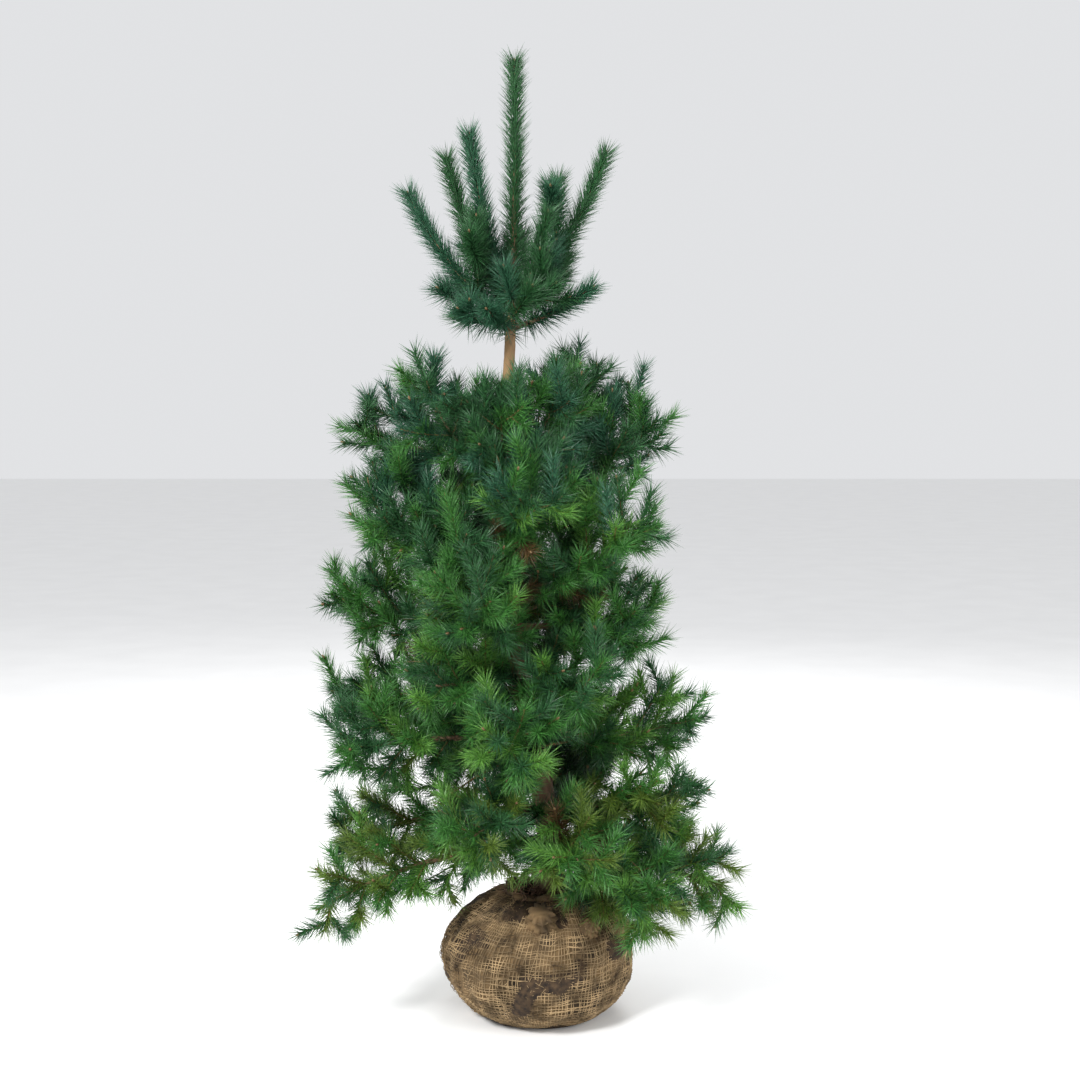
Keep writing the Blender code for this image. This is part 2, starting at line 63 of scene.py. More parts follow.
# %% [markdown]
# The camera stands four metres away at chest height and looks slightly down. One lamp alone would leave
# black shadows between the shoots, so a broad key lamp has a fill and a light behind, under a pale sky.

# %% Camera and light
CAMERA_PLACE = (0.0, -4.0, 1.5)
CAMERA_PITCH = math.radians(4.66)
CAMERA_LENS = 54.67
CAMERA_SENSOR = 36
LAMPS = (  # place, power, size
    ((-3.0, -3.8, 4.4), 390, 1.6),
    ((3.8, -2.6, 2.4), 110, 2.6),
    ((0.6, 3.8, 4.2), 120, 2.6),
)
LAMP_AIM = Vector((0, 0, 1.1))
SKY_COLOUR = (0.97, 0.98, 1.0, 1)
SKY_STRENGTH = 0.78
scene = bpy.context.scene


def placed(name, data):
    made = bpy.data.objects.new(name, data)
    scene.collection.objects.link(made)
    return made


camera = placed("camera", bpy.data.cameras.new("camera"))
camera.location = CAMERA_PLACE
camera.rotation_euler = (math.pi / 2 - CAMERA_PITCH, 0, 0)
camera.data.sensor_width = CAMERA_SENSOR
camera.data.lens = CAMERA_LENS
scene.camera = camera
for number, (place, power, size) in enumerate(LAMPS):
    lamp = bpy.data.lights.new(f"lamp_{number}", "AREA")
    lamp.energy = power
    lamp.size = size
    holder = placed(f"lamp_{number}", lamp)
    holder.location = place
    holder.rotation_euler = (LAMP_AIM - Vector(place)).to_track_quat("-Z", "Y").to_euler()
world = bpy.data.worlds.new("soft sky")
world.use_nodes = True
sky = world.node_tree.nodes["Background"].inputs
sky["Color"].default_value = SKY_COLOUR
sky["Strength"].default_value = SKY_STRENGTH
scene.world = world
scene.view_settings.view_transform = "Standard"
print("camera at", CAMERA_PLACE, "with", len(LAMPS), "lamps")

# %% [markdown]
# Node trees are easier to read as expressions. One class wraps a socket and turns the arithmetic signs
# into Math nodes, and one method adds any other node: its settings first, then its values and links.

# %% A small language for nodes
class Value:
    def __init__(self, web, socket):
        self.web = web
        self.socket = socket

    def math(self, operation, first, second):
        return self.web.node("ShaderNodeMath", {"operation": operation}, {0: first, 1: second})

    def __add__(self, other):
        return self.math("ADD", self, other)

    def __sub__(self, other):
        return self.math("SUBTRACT", self, other)

    def __mul__(self, other):
        return self.math("MULTIPLY", self, other)

    def __pow__(self, other):
        return self.math("POWER", self, other)

    def __rsub__(self, other):
        return self.math("SUBTRACT", other, self)

    __radd__ = __add__
    __rmul__ = __mul__


class Web:
    def __init__(self, tree):
        self.tree = tree

    def node(self, kind, settings=None, sockets=None, out=0):
        made = self.tree.nodes.new(kind)
        for name, value in (settings or {}).items():
            setattr(made, name, value)
        for name, value in (sockets or {}).items():
            if isinstance(value, Value):
                self.tree.links.new(value.socket, made.inputs[name])
            else:
                made.inputs[name].default_value = value
        return Value(self, made.outputs[out])


print("node helpers ready")

# %% [markdown]
# Bark, needles, soil and cloth are all two colours mixed by noise. An image would have seams and a fixed
# size, so each finish is worked out from Object coordinates instead. The same noise gives the relief.

# %% Colours and finishes
OBJECT_SPACE = 3
ROUGHNESS_SPREAD = 0.2
TONE_CONTRAST = 2.6
TONE_SHIFT = 0.8
FLECK_CONTRAST = 3.0
FLECK_SHIFT = 1.25
FLECK_DETAIL = 5.0


def mixed(web, share, first, second):
    """A colour between two colours. The colour sockets of a Mix node are its inputs 6 and 7."""
    settings = {"data_type": "RGBA", "clamp_factor": True}
    return web.node("ShaderNodeMix", settings, {0: share, 6: first, 7: second}, 2)


def speckle(web, scale, stretch=(1, 1, 1), detail=3.0):
    """Noise between 0 and 1 in object space, stretched along the axes."""
    place = web.node("ShaderNodeTexCoord", out=OBJECT_SPACE)
    place = web.node("ShaderNodeMapping", {}, {"Vector": place, "Scale": stretch})
    sockets = {"Vector": place, "Scale": scale, "Detail": detail}
    return web.node("ShaderNodeTexNoise", {}, sockets)


def finish(name, paint, roughness, bump=0.0, specular=0.4):
    """A material whose colour and relief come from paint, a function of the web of its tree."""
    made = bpy.data.materials.new(name)
    made.use_nodes = True
    web = Web(made.node_tree)
    shader = made.node_tree.nodes["Principled BSDF"]
    colour, relief = paint(web)
    rough = relief * ROUGHNESS_SPREAD + roughness
    made.node_tree.links.new(colour.socket, shader.inputs["Base Color"])
    made.node_tree.links.new(rough.socket, shader.inputs["Roughness"])
    shader.inputs["Specular IOR Level"].default_value = specular
    if bump:
        sockets = {"Height": relief, "Strength": 1.0, "Distance": bump}
        normal = web.node("ShaderNodeBump", {}, sockets)
        made.node_tree.links.new(normal.socket, shader.inputs["Normal"])
    return made


def two_tone(dark, light, scale):
    def paint(web):
        relief = speckle(web, scale)
        share = relief * TONE_CONTRAST - TONE_SHIFT
        return mixed(web, share, (*dark, 1), (*light, 1)), relief

    return paint


def by_height(low, high, foot, top, fleck, scale, stretch):
    """Bark that changes from one colour to another up the trunk, with flecks of a third."""

    def paint(web):
        place = web.node("ShaderNodeTexCoord", out=OBJECT_SPACE)
        height = web.node("ShaderNodeSeparateXYZ", {}, {0: place}, 2)
        share = (height - foot) * (1 / (top - foot))
        relief = speckle(web, scale, stretch, FLECK_DETAIL)
        base = mixed(web, share, (*low, 1), (*high, 1))
        return mixed(web, relief * FLECK_CONTRAST - FLECK_SHIFT, base, (*fleck, 1)), relief

    return paint


print("finishes mix two colours with contrast", TONE_CONTRAST)

# %% [markdown]
# The sizes and the growing rule are those of the solids: a leaning trunk, whorls of boughs and shoots on
# the trunk. A scan would be one fixed mesh. Short tables can be read, and dress each limb in its place.

# %% The tree's own sizes
UP = Vector((0, 0, 1))
BALL_RADIUS = 0.235
BALL_SHIFT = -0.008
PAD_SHIFT = 0.014
BALL_MIDDLE = 0.132
BALL_ROUNDNESS = 0.82
BALL_FOOT_ANGLE = math.radians(-58)
BALL_PAD_ANGLE = math.radians(71)
BALL_LUMP = 0.011
BALL_LUMP_SCALE = 9.0
BALL_FOOT_FADE = 0.05
BALL_PAD_FADE = 0.03
SOIL_LEVEL = 0.300
KNOTS = (  # direction round the ball in degrees, height, radius of the bunched cloth
    (267, 0.262, 0.040),
    (306, 0.240, 0.026),
    (92, 0.262, 0.038),
)
TRUNK_FOOT_X = 0.030
TRUNK_LEAN = -0.115
TRUNK_LEAN_HEIGHT = 0.85
TRUNK_RETURN = 0.022
TRUNK_RETURN_START = 1.35
TRUNK_RETURN_HEIGHT = 0.55
TRUNK_WAVE = 0.012
TRUNK_WAVE_RATE = 3.3
TRUNK_TIP = 1.762
TRUNK_FOOT_RADIUS = 0.0300
TRUNK_TIP_RADIUS = 0.0115
FLARE = 0.018
FLARE_HEIGHT = 0.035
FLARE_ROOTS = 5
FLARE_LOBE = 0.16
FLARE_TURN = 0.6
# Height, direction in degrees, reach, rise of the tip, rise of the bend
BOUGHS = (
    (1.220, 5, 0.330, 0.230, 0.045),
    (1.175, 284, 0.270, 0.125, 0.020),
    (1.180, 200, 0.320, 0.045, 0.010),
    (1.020, 327, 0.345, 0.205, 0.030),
    (0.975, 176, 0.395, 0.030, -0.020),
    (0.955, 352, 0.305, 0.000, 0.020),
    (0.960, 252, 0.310, 0.090, 0.010),
    (0.735, 168, 0.465, 0.045, 0.000),
    (0.690, 200, 0.485, 0.000, 0.010),
    (0.705, 5, 0.365, 0.010, -0.050),
    (0.720, 262, 0.320, -0.005, 0.010),
    (0.500, 178, 0.500, -0.085, 0.010),
    (0.520, 343, 0.330, 0.000, 0.000),
    (0.515, 240, 0.330, -0.005, 0.010),
    (0.420, 197, 0.575, -0.115, 0.010),
    (0.435, 352, 0.430, -0.105, -0.065),
    (0.378, 316, 0.330, -0.050, 0.020),
)
BEND_AT = 0.56
BOUGH_THICKNESS = 0.0155
THICKNESS_BY_REACH = (0.42, 0.75)
THICKNESS_BY_HEIGHT = (1.12, 0.86)
CROWN_FOOT = 0.4
COLLAR = 1.35
COLLAR_LENGTH = 0.020
# Direction, height, reach, rise, and the counts of side shoots in two whorls
TOP_SHOOTS = (
    (188, 1.738, 0.102, 0.402, 0, 0),
    (152, 1.720, 0.180, 0.380, 0, 0),
    (178, 1.705, 0.245, 0.300, 2, 0),
    (6, 1.735, 0.226, 0.368, 0, 1),
    (308, 1.712, 0.138, 0.235, 1, 0),
    (338, 1.688, 0.205, 0.090, 1, 0),
    (255, 1.692, 0.200, 0.030, 2, 0),
    (80, 1.706, 0.160, 0.220, 2, 0),
)
UPPER_SHOOTS = (
    (170, 1.375, 0.340, 0.060, 3, 2),
    (214, 1.350, 0.210, 0.185, 3, 2),
    (268, 1.335, 0.165, 0.145, 2, 1),
    (318, 1.365, 0.165, 0.160, 3, 1),
    (24, 1.370, 0.235, 0.190, 3, 2),
    (112, 1.345, 0.200, 0.020, 3, 2),
)
INNER_SHOOTS = (
    (98, 1.210, 0.300, 0.110, 3, 3),
    (240, 1.120, 0.250, 0.030, 2, 2),
    (62, 0.985, 0.330, 0.060, 3, 3),
    (304, 0.830, 0.270, 0.000, 3, 2),
    (230, 0.840, 0.300, 0.010, 3, 2),
    (116, 0.780, 0.350, 0.060, 3, 3),
    (70, 0.560, 0.360, 0.030, 3, 3),
    (284, 0.460, 0.290, -0.010, 3, 2),
    (134, 0.610, 0.360, 0.020, 3, 3),
)
LEADER_LENGTH = 0.582
LEADER_SWAY = 0.006
LEADER_ROOT = 0.0098
SIDE_SPREAD = math.radians(52)
SIDE_LENGTH = 0.150
SIDE_RANGE = (0.90, 1.08)
SIDE_RISE = 0.18
SIDE_BEND = 0.55
SIDE_REACH = 0.93
LIFT_TOP = 0.34
LIFT_FOOT = -0.02
LIFT_HEIGHT = 0.9
SEED = 41
print("boughs:", len(BOUGHS), "shoots on the trunk:", len(TOP_SHOOTS + UPPER_SHOOTS + INNER_SHOOTS))

# %% [markdown]
# A young trunk leans and then returns, and a limb bends once on its way. Their lines could be drawn by
# hand, but a curve worked out from a few numbers can be changed in one place.

# %% Lines of the trunk and the limbs
FINE_STEP = 0.018
ROUGH_STEPS = 8


def blend(a, b, share):
    return a + (b - a) * share


def smooth(share):
    share = min(1.0, max(0.0, share))
    return share * share * (3 - 2 * share)


def trunk_centre(height):
    above = height - SOIL_LEVEL
    x = TRUNK_FOOT_X + TRUNK_LEAN * smooth(above / TRUNK_LEAN_HEIGHT)
    x += TRUNK_RETURN * smooth((height - TRUNK_RETURN_START) / TRUNK_RETURN_HEIGHT)
    y = TRUNK_WAVE * math.sin(above * TRUNK_WAVE_RATE)
    return Vector((x, y, height))


def trunk_radius(height):
    share = (height - SOIL_LEVEL) / (TRUNK_TIP - SOIL_LEVEL)
    return blend(TRUNK_FOOT_RADIUS, TRUNK_TIP_RADIUS, share)


def curve(start, bend, end, share):
    """A point of the smooth curve from start to end that bends towards a third point."""
    return start * (1 - share) ** 2 + bend * (2 * share * (1 - share)) + end * share**2


def length_of(line):
    return sum((b - a).length for a, b in zip(line, line[1:]))


def points_on(start, bend, end):
    """Points along the curve, about a step apart."""
    rough = [curve(start, bend, end, i / ROUGH_STEPS) for i in range(ROUGH_STEPS + 1)]
    count = max(3, round(length_of(rough) / FINE_STEP))
    return [curve(start, bend, end, i / count) for i in range(count + 1)]


def around(turn):
    return Vector((math.cos(turn), math.sin(turn), 0))


def outward(direction):
    return around(math.radians(direction))


def bough_curve(height, direction, reach, rise, dip):
    out = outward(direction)
    start = trunk_centre(height)
    bend = start + out * (reach * BEND_AT) + UP * dip
    return start, bend, start + out * reach + UP * rise


def shoot_line(height, direction, reach, rise, bend_at):
    """The line of a shoot that starts in the trunk. bend_at says where it bends, along and up."""
    start, out = trunk_centre(height), outward(direction)
    bend = start + out * (reach * bend_at[0]) + UP * (rise * bend_at[1])
    return points_on(start, bend, start + out * reach + UP * rise)


def lift_at(height):
    """Shoots rise in the top of the crown and lie flat at its foot."""
    return blend(LIFT_FOOT, LIFT_TOP, smooth((height - CROWN_FOOT) / LIFT_HEIGHT))


def limb_radius(height, reach):
    by_reach = THICKNESS_BY_REACH[0] + THICKNESS_BY_REACH[1] * reach
    by_height = blend(*THICKNESS_BY_HEIGHT, smooth(height - CROWN_FOOT))
    return BOUGH_THICKNESS * by_reach * by_height


print("the trunk's tip is at", [round(c, 3) for c in trunk_centre(TRUNK_TIP)])

# %% [markdown]
# Trunk, limbs, twigs and yarns are all tubes. A curve with a bevel could draw them, but it has one round
# section, and a trunk has root flare and plates. Here every corner of every ring can be moved.

# %% Tubes and pieces
def frames(points):
    """A tangent and two cross directions at each point, carried along the line without twisting."""
    found = []
    side = None
    for i in range(len(points)):
        before = points[max(0, i - 1)]
        after = points[min(len(points) - 1, i + 1)]
        tangent = (after - before).normalized()
        if side is None:
            side = tangent.orthogonal().normalized()
        side = (side - tangent * side.dot(tangent)).normalized()
        found.append((tangent, side, tangent.cross(side)))
    return found


def ring_faces(rings, sides, capped=True):
    """The faces between rings of corners, and one over each end."""
    faces = []
    for i in range(rings - 1):
        for j in range(sides):
            k = (j + 1) % sides
            faces.append((i * sides + j, i * sides + k, (i + 1) * sides + k, (i + 1) * sides + j))
    last = (rings - 1) * sides
    if capped:
        faces += [tuple(reversed(range(sides))), tuple(range(last, last + sides))]
    return faces


def tube(points, radii, sides, lobes=None):
    """Corners and faces of a closed tapering limb. lobes widens single corners, as root flare does."""
    corners = []
    for i, (point, (_, side, other)) in enumerate(zip(points, frames(points))):
        for j in range(sides):
            turn = math.tau * j / sides
            radius = radii[i] * (lobes(i, turn) if lobes else 1.0)
            corners.append(point + side * (radius * math.cos(turn)) + other * (radius * math.sin(turn)))
    return corners, ring_faces(len(points), sides)


def triangles_of(mesh):
    return sum(len(p.vertices) - 2 for p in mesh.polygons)


def piece(name, corners, faces, material, slot):
    """A plain mesh piece at the origin, shaded smooth, with its faces turned outwards."""
    mesh = bpy.data.meshes.new(name)
    mesh.from_pydata([tuple(c) for c in corners], [], faces)
    mesh.materials.append(material)
    made = placed(name, mesh)
    work = bmesh.new()
    work.from_mesh(mesh)
    bmesh.ops.recalc_face_normals(work, faces=work.faces)
    work.to_mesh(mesh)
    work.free()
    mesh.shade_smooth()
    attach(made, "root")
    print(name, "has", triangles_of(mesh), "triangles")
    return made


def gathered(shapes):
    """One list of corners and one of faces from several closed shapes."""
    corners, faces = [], []
    for more, sides in shapes:
        faces += [tuple(len(corners) + c for c in side) for side in sides]
        corners += more
    return corners, faces


print("a tube of two rings has", len(ring_faces(2, 3)), "faces")

# %% [markdown]
# Pine bark is plates that flake apart in long cracks. A bump alone would leave a smooth edge against the
# light, so the trunk is a fine tube whose skin moves in and out by stretched noise, deepest at the foot.
# Its colour goes from dark brown at the foot to the tan of young bark at the top.

# %% Trunk
BARK_LOW = (0.085, 0.043, 0.026)
BARK_HIGH = (0.36, 0.220, 0.105)
BARK_FLECK = (0.17, 0.105, 0.065)
BARK_HEIGHTS = (0.35, 1.7)
BARK_PAINT = by_height(BARK_LOW, BARK_HIGH, *BARK_HEIGHTS, BARK_FLECK, 70, (1, 1, 0.3))
TRUNK_SKIN = finish("bark_trunk", BARK_PAINT, 0.72, 0.002)
TRUNK_RINGS = 460
TRUNK_SIDES = 54
TRUNK_SUNK = 0.012
TRUNK_IN_LEADER = 0.004
PLATE_DEPTH = 0.0034
PLATE_FADE = (0.35, 1.2)  # the share that is left high up, and how high
PLATE_LEVEL = 0.6
CRACK_RATES = (62, 19)
CRACK_SHARPNESS = 3.4
FLAKE_RATES = (190, 75)
FLAKE_SHARE = 0.28


def bark_noise(point, height, rates):
    """Noise that is finer round the trunk than along it."""
    return noise.noise(Vector((point.x * rates[0], point.y * rates[0], height * rates[1])))


def plates(point, height):
    """How far the bark stands out: rounded plates between narrow cracks, and small flakes."""
    crack = abs(bark_noise(point, height, CRACK_RATES))
    flake = bark_noise(point, height, FLAKE_RATES)
    depth = blend(1.0, PLATE_FADE[0], smooth((height - SOIL_LEVEL) / PLATE_FADE[1]))
    plate = min(1.0, crack * CRACK_SHARPNESS) - PLATE_LEVEL
    return PLATE_DEPTH * depth * (plate + FLAKE_SHARE * flake)


def flare_share(height):
    return math.exp(-max(0, height - SOIL_LEVEL) / FLARE_HEIGHT)


def trunk_skin():
    points, radii = [], []
    for i in range(TRUNK_RINGS):
        share = i / (TRUNK_RINGS - 1)
        height = blend(SOIL_LEVEL - TRUNK_SUNK, TRUNK_TIP + TRUNK_IN_LEADER, share)
        points.append(trunk_centre(height))
        radii.append(trunk_radius(height) + FLARE * flare_share(height))

    def lobes(i, turn):
        height = points[i].z
        relief = plates(around(turn) * radii[i], height) / radii[i]
        roots = math.cos(FLARE_ROOTS * turn + FLARE_TURN)
        return 1 + FLARE_LOBE * flare_share(height) * roots + relief

    return tube(points, radii, TRUNK_SIDES, lobes)


trunk = piece("trunk_bark", *trunk_skin(), TRUNK_SKIN, "bark")
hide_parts("trunk")

# %% [markdown]
# Every shoot is a line with a thickness, a tint and a needle length. Side shoots stand round it in
# whorls, with finer ones of their own. Copies of one twig would be quicker, but all sprays would look
# alike. A shoot that would leave the box of the solids is left out.

# %% Shoots and whorls
EDGE = 0.018
SHOOT_TIP = 0.0026
SIDE_ROOT = 0.0030
SIDE_TIP = 0.0017
SIDE_TIP_LEAST = 0.0003
WHORL_JITTER = 0.15
FINER_PLACES = ((0.50, 2, 0.66),)
FINER_LENGTH = 0.78
TOP_TINTS_FROM = 1.60
UPPER_TINTS_FROM = 1.30
LOW_TINTS_TO = 0.62
DEAD_CHANCE = 0.035
DEAD_WITHIN = 0.28
SHADE_WITHIN = 0.17
low_corner, high_corner = (Vector(c) for c in cad_box)
Shoot = namedtuple("Shoot", "line root tip tint needle close", defaults=(False,))
shoots = []
node_tint = {}


def inside(point):
    return all(low_corner[i] + EDGE < point[i] < high_corner[i] - EDGE for i in range(3))


def tint_for(rng, point):
    """Bluish at the top, fresh greens outside, olive and dark near the trunk and low down.
    Near the trunk the darkest tint is painted shade.
    """
    out = (point - trunk_centre(point.z)).length
    if point.z > TOP_TINTS_FROM:
        return rng.choice(("blue", "deep"))
    if point.z > UPPER_TINTS_FROM:
        return rng.choice(("blue", "deep", "green"))
    if rng.random() < DEAD_CHANCE and out < DEAD_WITHIN:
        return "dead"
    # Most needles close to the trunk take the near-black tint, which is painted shade.
    if out < SHADE_WITHIN:
        return rng.choice(("shade", "shade", "deep", "olive"))
    if point.z < LOW_TINTS_TO:
        return rng.choice(("olive", "green", "fresh", "deep"))
    return rng.choice(("deep", "deep", "green", "green", "fresh"))


def side_shoot(rng, start, tangent, side, other, turn, length, lift):
    out = side * math.cos(turn) + other * math.sin(turn)
    way = tangent * math.cos(SIDE_SPREAD) + out * math.sin(SIDE_SPREAD)
    length *= (1 + SIDE_RISE * way.z) * rng.uniform(*SIDE_RANGE)
    bend = start + way * (length * SIDE_BEND)
    end = start + way * (length * SIDE_REACH) + UP * (lift * length)
    return points_on(start, bend, end) if inside(end) else None


def branch_on(rng, parent, places, length, lift, order):
    """A whorl of side shoots at each place of the parent, each with finer ones of its own."""
    directions = frames(parent.line)
    root, tip = SIDE_ROOT / order, SIDE_TIP / order + SIDE_TIP_LEAST
    for share, count, scale in places:
        first = rng.uniform(0, math.tau)
        for j in range(count):
            i = min(len(parent.line) - 2, int(share * (len(parent.line) - 1)) + j % 2)
            turn = first + math.tau * (j + rng.uniform(-WHORL_JITTER, WHORL_JITTER)) / count
            line = side_shoot(rng, parent.line[i], *directions[i], turn, length * scale, lift)
            if line is None:
                continue
            tint = tint_for(rng, line[-1])
            made = Shoot(line, root, tip, tint, parent.needle, parent.close)
            shoots.append(made)
            if order == 1:
                branch_on(rng, made, FINER_PLACES, length * FINER_LENGTH, lift, 2)


def stem(node, line, root, places, lift, needle, rng, close=False):
    """The stem of one mass of the solids, with its whorls. The mass takes the stem's tint."""
    made = Shoot(line, root, SHOOT_TIP, tint_for(rng, line[-1]), needle, close)
    shoots.append(made)
    node_tint[node] = made.tint
    branch_on(rng, made, places, SIDE_LENGTH, lift, 1)


print("whorls keep", EDGE * 1000, "mm inside the box")

# %% [markdown]
# The leader stands on the trunk's tip, with the top whorl round it like fingers. The next whorls are
# fuller. Each shoot has a random generator of its own, so a change to one leaves the others alone.

# %% Leader and the shoots on the trunk
LEADER_SHORTER = 0.030
LEADER_NEEDLE = 0.060
STEM_ROOT = 0.0068
FULLER_PLACE = (0.88, 2, 0.60)
INNER_PLACE = (0.20, 3, 0.85)
UPPER_LIFT = 0.35
RUFF_FOOT = 1.640
RUFF_STEPS = 8
RUFF_RADIUS = 0.004
RUFF_NEEDLE = 0.062
STYLES = (  # name, rows, where the bend is along and up, needle length, shares of the two whorls
    ("top_shoot", TOP_SHOOTS, (0.62, 0.34), 0.067, (0.26, 0.46)),
    ("upper_shoot", UPPER_SHOOTS, (0.66, 0.10), 0.050, (0.34, 0.66)),
    ("inner_shoot", INNER_SHOOTS, (0.66, 0.10), 0.052, (0.34, 0.66)),
)
foot = trunk_centre(TRUNK_TIP)
sway = Vector((LEADER_SWAY, 0, 0))
tip = foot + UP * (LEADER_LENGTH - LEADER_SHORTER) + sway
leader = points_on(foot, (foot + tip) / 2 + sway, tip)
stem("leader_shoot", leader, LEADER_ROOT, (), 0.0, LEADER_NEEDLE, random.Random(SEED), True)
for kind, (name, rows, bend_at, needle, shares) in enumerate(STYLES):
    for number, (direction, height, reach, rise, first, second) in enumerate(rows):
        rng = random.Random(SEED + 100 * (kind + 1) + number)
        line = shoot_line(height, direction, reach, rise, bend_at)
        lift = lift_at(height)
        places = ((shares[0], first, 0.85), (shares[1], second, 0.75))
        if name != "top_shoot":
            places = ((shares[0] + 0.06, first + 1, 0.95), (shares[1], second + 1, 0.85), FULLER_PLACE)
        if name == "upper_shoot":
            lift *= UPPER_LIFT
        if name == "inner_shoot":
            places = (INNER_PLACE, *places)
        stem(f"{name}_{number + 1}", line, STEM_ROOT, places, lift, needle, rng, name == "top_shoot")
ruff = [trunk_centre(blend(RUFF_FOOT, TRUNK_TIP, i / RUFF_STEPS)) for i in range(RUFF_STEPS + 1)]
shoots.append(Shoot(ruff, RUFF_RADIUS, RUFF_RADIUS, "deep", RUFF_NEEDLE, True))
print("shoots with the trunk's own:", len(shoots))

# %% [markdown]
# Candles are the youngest shoots: short and upright, they give the crown its ragged upper edge. The
# whorl rule spreads its shoots to all sides, so the candles are set on their own.

# %% Candles
CANDLES = (("upper", UPPER_SHOOTS), ("bough", BOUGHS[:3]))
CANDLE_SEED = 700
CANDLE_LENGTH = 0.13
CANDLE_RANGE = (0.60, 0.98)
CANDLE_SHARES = (0.64, 0.92)
CANDLE_RISE = 0.8
CANDLE_DRIFT = 0.03
CANDLE_BOW = 0.008
CANDLE_RADII = (0.0026, 0.0018)
CANDLE_NEEDLE = 0.047
for kind, (name, rows) in enumerate(CANDLES):
    for number, row in enumerate(rows):
        rng = random.Random(SEED + CANDLE_SEED + 10 * kind + number)
        direction, height = (row[0], row[1]) if name == "upper" else (row[1], row[0])
        start, out = trunk_centre(height), outward(direction)
        for share in CANDLE_SHARES:
            base = start + out * (row[2] * share) + UP * (row[3] * share * CANDLE_RISE)
            drift = out * rng.uniform(0.0, CANDLE_DRIFT)
            top = base + drift + UP * CANDLE_LENGTH * rng.uniform(*CANDLE_RANGE)
            line = points_on(base, base.lerp(top, 0.5) + out * CANDLE_BOW, top)
            tint = tint_for(rng, top)
            shoots.append(Shoot(line, *CANDLE_RADII, tint, CANDLE_NEEDLE, True))
print("shoots with the candles:", len(shoots))

# %% [markdown]
# Short shoots with needles painted dark as shade fill the space close to the trunk. Without them its back
# would be bare, so a dozen are grown there.

# %% Shoots in the shade behind the trunk
BACK_SEED = 900
BACK_SHOOTS = 12
BACK_DIRECTIONS = (55, 150)
BACK_REACH = (0.16, 0.26)
BACK_HEIGHTS = (0.46, 1.20)
BACK_RISE = 0.03
BACK_RADII = (0.0055, 0.0022)
BACK_NEEDLE = 0.060
BACK_PLACES = ((0.45, 3, 0.80), (0.80, 3, 0.70))
BACK_LIFT = 0.1
rng = random.Random(SEED + BACK_SEED)
for number in range(BACK_SHOOTS):
    direction, reach = rng.uniform(*BACK_DIRECTIONS), rng.uniform(*BACK_REACH)
    height = blend(*BACK_HEIGHTS, number / BACK_SHOOTS)
    line = shoot_line(height, direction, reach, BACK_RISE, (BEND_AT, 0))
    # Their needles take the near-black tint, which is painted shade.
    shoots.append(Shoot(line, *BACK_RADII, "shade", BACK_NEEDLE))
    branch_on(rng, shoots[-1], BACK_PLACES, SIDE_LENGTH, BACK_LIFT, 1)
print("shoots with those behind the trunk:", len(shoots))

# %% [markdown]
# A bough carries whorls from a quarter of its length to near its tip, fullest in the middle. The solids
# have one mass for them all. Here the whole stem is one line, so wood and needles meet.

# %% Shoots on the boughs
BOUGH_PLACES = (  # share along the bough, count, size
    (0.26, 3, 0.80),
    (0.38, 3, 0.95),
    (0.52, 3, 1.0),
    (0.66, 3, 0.95),
    (0.80, 3, 0.80),
    (0.92, 2, 0.60),
)
BOUGH_NEEDLE = 0.053
for number, row in enumerate(BOUGHS):
    rng = random.Random(SEED + number)
    line = points_on(*bough_curve(*row))
    root = limb_radius(row[0], row[2])
    stem(f"needles_{number + 1:02d}", line, root, BOUGH_PLACES, lift_at(row[0]), BOUGH_NEEDLE, rng)
print("shoots:", len(shoots), "total length:", sum(len(s.line) for s in shoots) * FINE_STEP)

# %% [markdown]
# Limbs and twigs are tapering tubes. The boughs thicken in a collar where they leave the trunk. Their
# wood is brown, that of young shoots olive-brown. One finish for all would be quicker, but the tips would
# look as old as the trunk. A bud is a small pointed tube at a tip.

# %% Limbs, twigs and buds
LIMB_SKIN = finish("bark_limb", two_tone((0.10, 0.055, 0.032), (0.27, 0.165, 0.10), 130), 0.75, 0.001)
TWIG_SKIN = finish("bark_twig", two_tone((0.085, 0.055, 0.020), (0.22, 0.140, 0.055), 220), 0.6, 0.0005)
BUD_SKIN = finish("bud_scales", two_tone((0.09, 0.055, 0.022), (0.24, 0.150, 0.07), 400), 0.5, 0.0003)
STEM_FROM = 0.006
LIMB_SIDES = 8
TWIG_SIDES = 5
TAPER_POWER = 0.7
WOOD_LUMPS = 0.16
WOOD_LUMP_RATE = 90
BUD_EVERY = 6
BUD_PLACES = (0, 0.005, 0.010, 0.013)
BUD_RADII = (0.0020, 0.0036, 0.0026, 0.0007)
limbs, twigs, buds = [], [], []


def wood(shoot):
    """The tube of a shoot: tapering, a little lumpy, and with a collar if it stands on the trunk."""
    thick = shoot.root > STEM_FROM
    count = len(shoot.line) - 1
    radii = []
    for i, point in enumerate(shoot.line):
        radius = blend(shoot.root, shoot.tip, (i / count) ** TAPER_POWER)
        if thick:
            skin = (point - shoot.line[0]).length - trunk_radius(min(TRUNK_TIP, shoot.line[0].z))
            radius *= 1 + (COLLAR - 1) * math.exp(-max(0, skin) / COLLAR_LENGTH)
        radii.append(radius * (1 + WOOD_LUMPS * noise.noise(point * WOOD_LUMP_RATE)))
    return tube(shoot.line, radii, LIMB_SIDES if thick else TWIG_SIDES)


for number, shoot in enumerate(shoots):
    (limbs if shoot.root > STEM_FROM else twigs).append(wood(shoot))
    if shoot.close or number % BUD_EVERY == 0:
        way = (shoot.line[-1] - shoot.line[-2]).normalized()
        bud = [shoot.line[-1] + way * along for along in BUD_PLACES]
        buds.append(tube(bud, BUD_RADII, TWIG_SIDES))
print("limbs:", len(limbs), "twigs:", len(twigs), "buds:", len(buds))

# %% [markdown]
# Under the green, a pine keeps thin, crooked dead twigs. The rule above grows only healthy shoots, so
# these come from a table and are bent by a noise vector. It starts from the clock unless it is seeded.

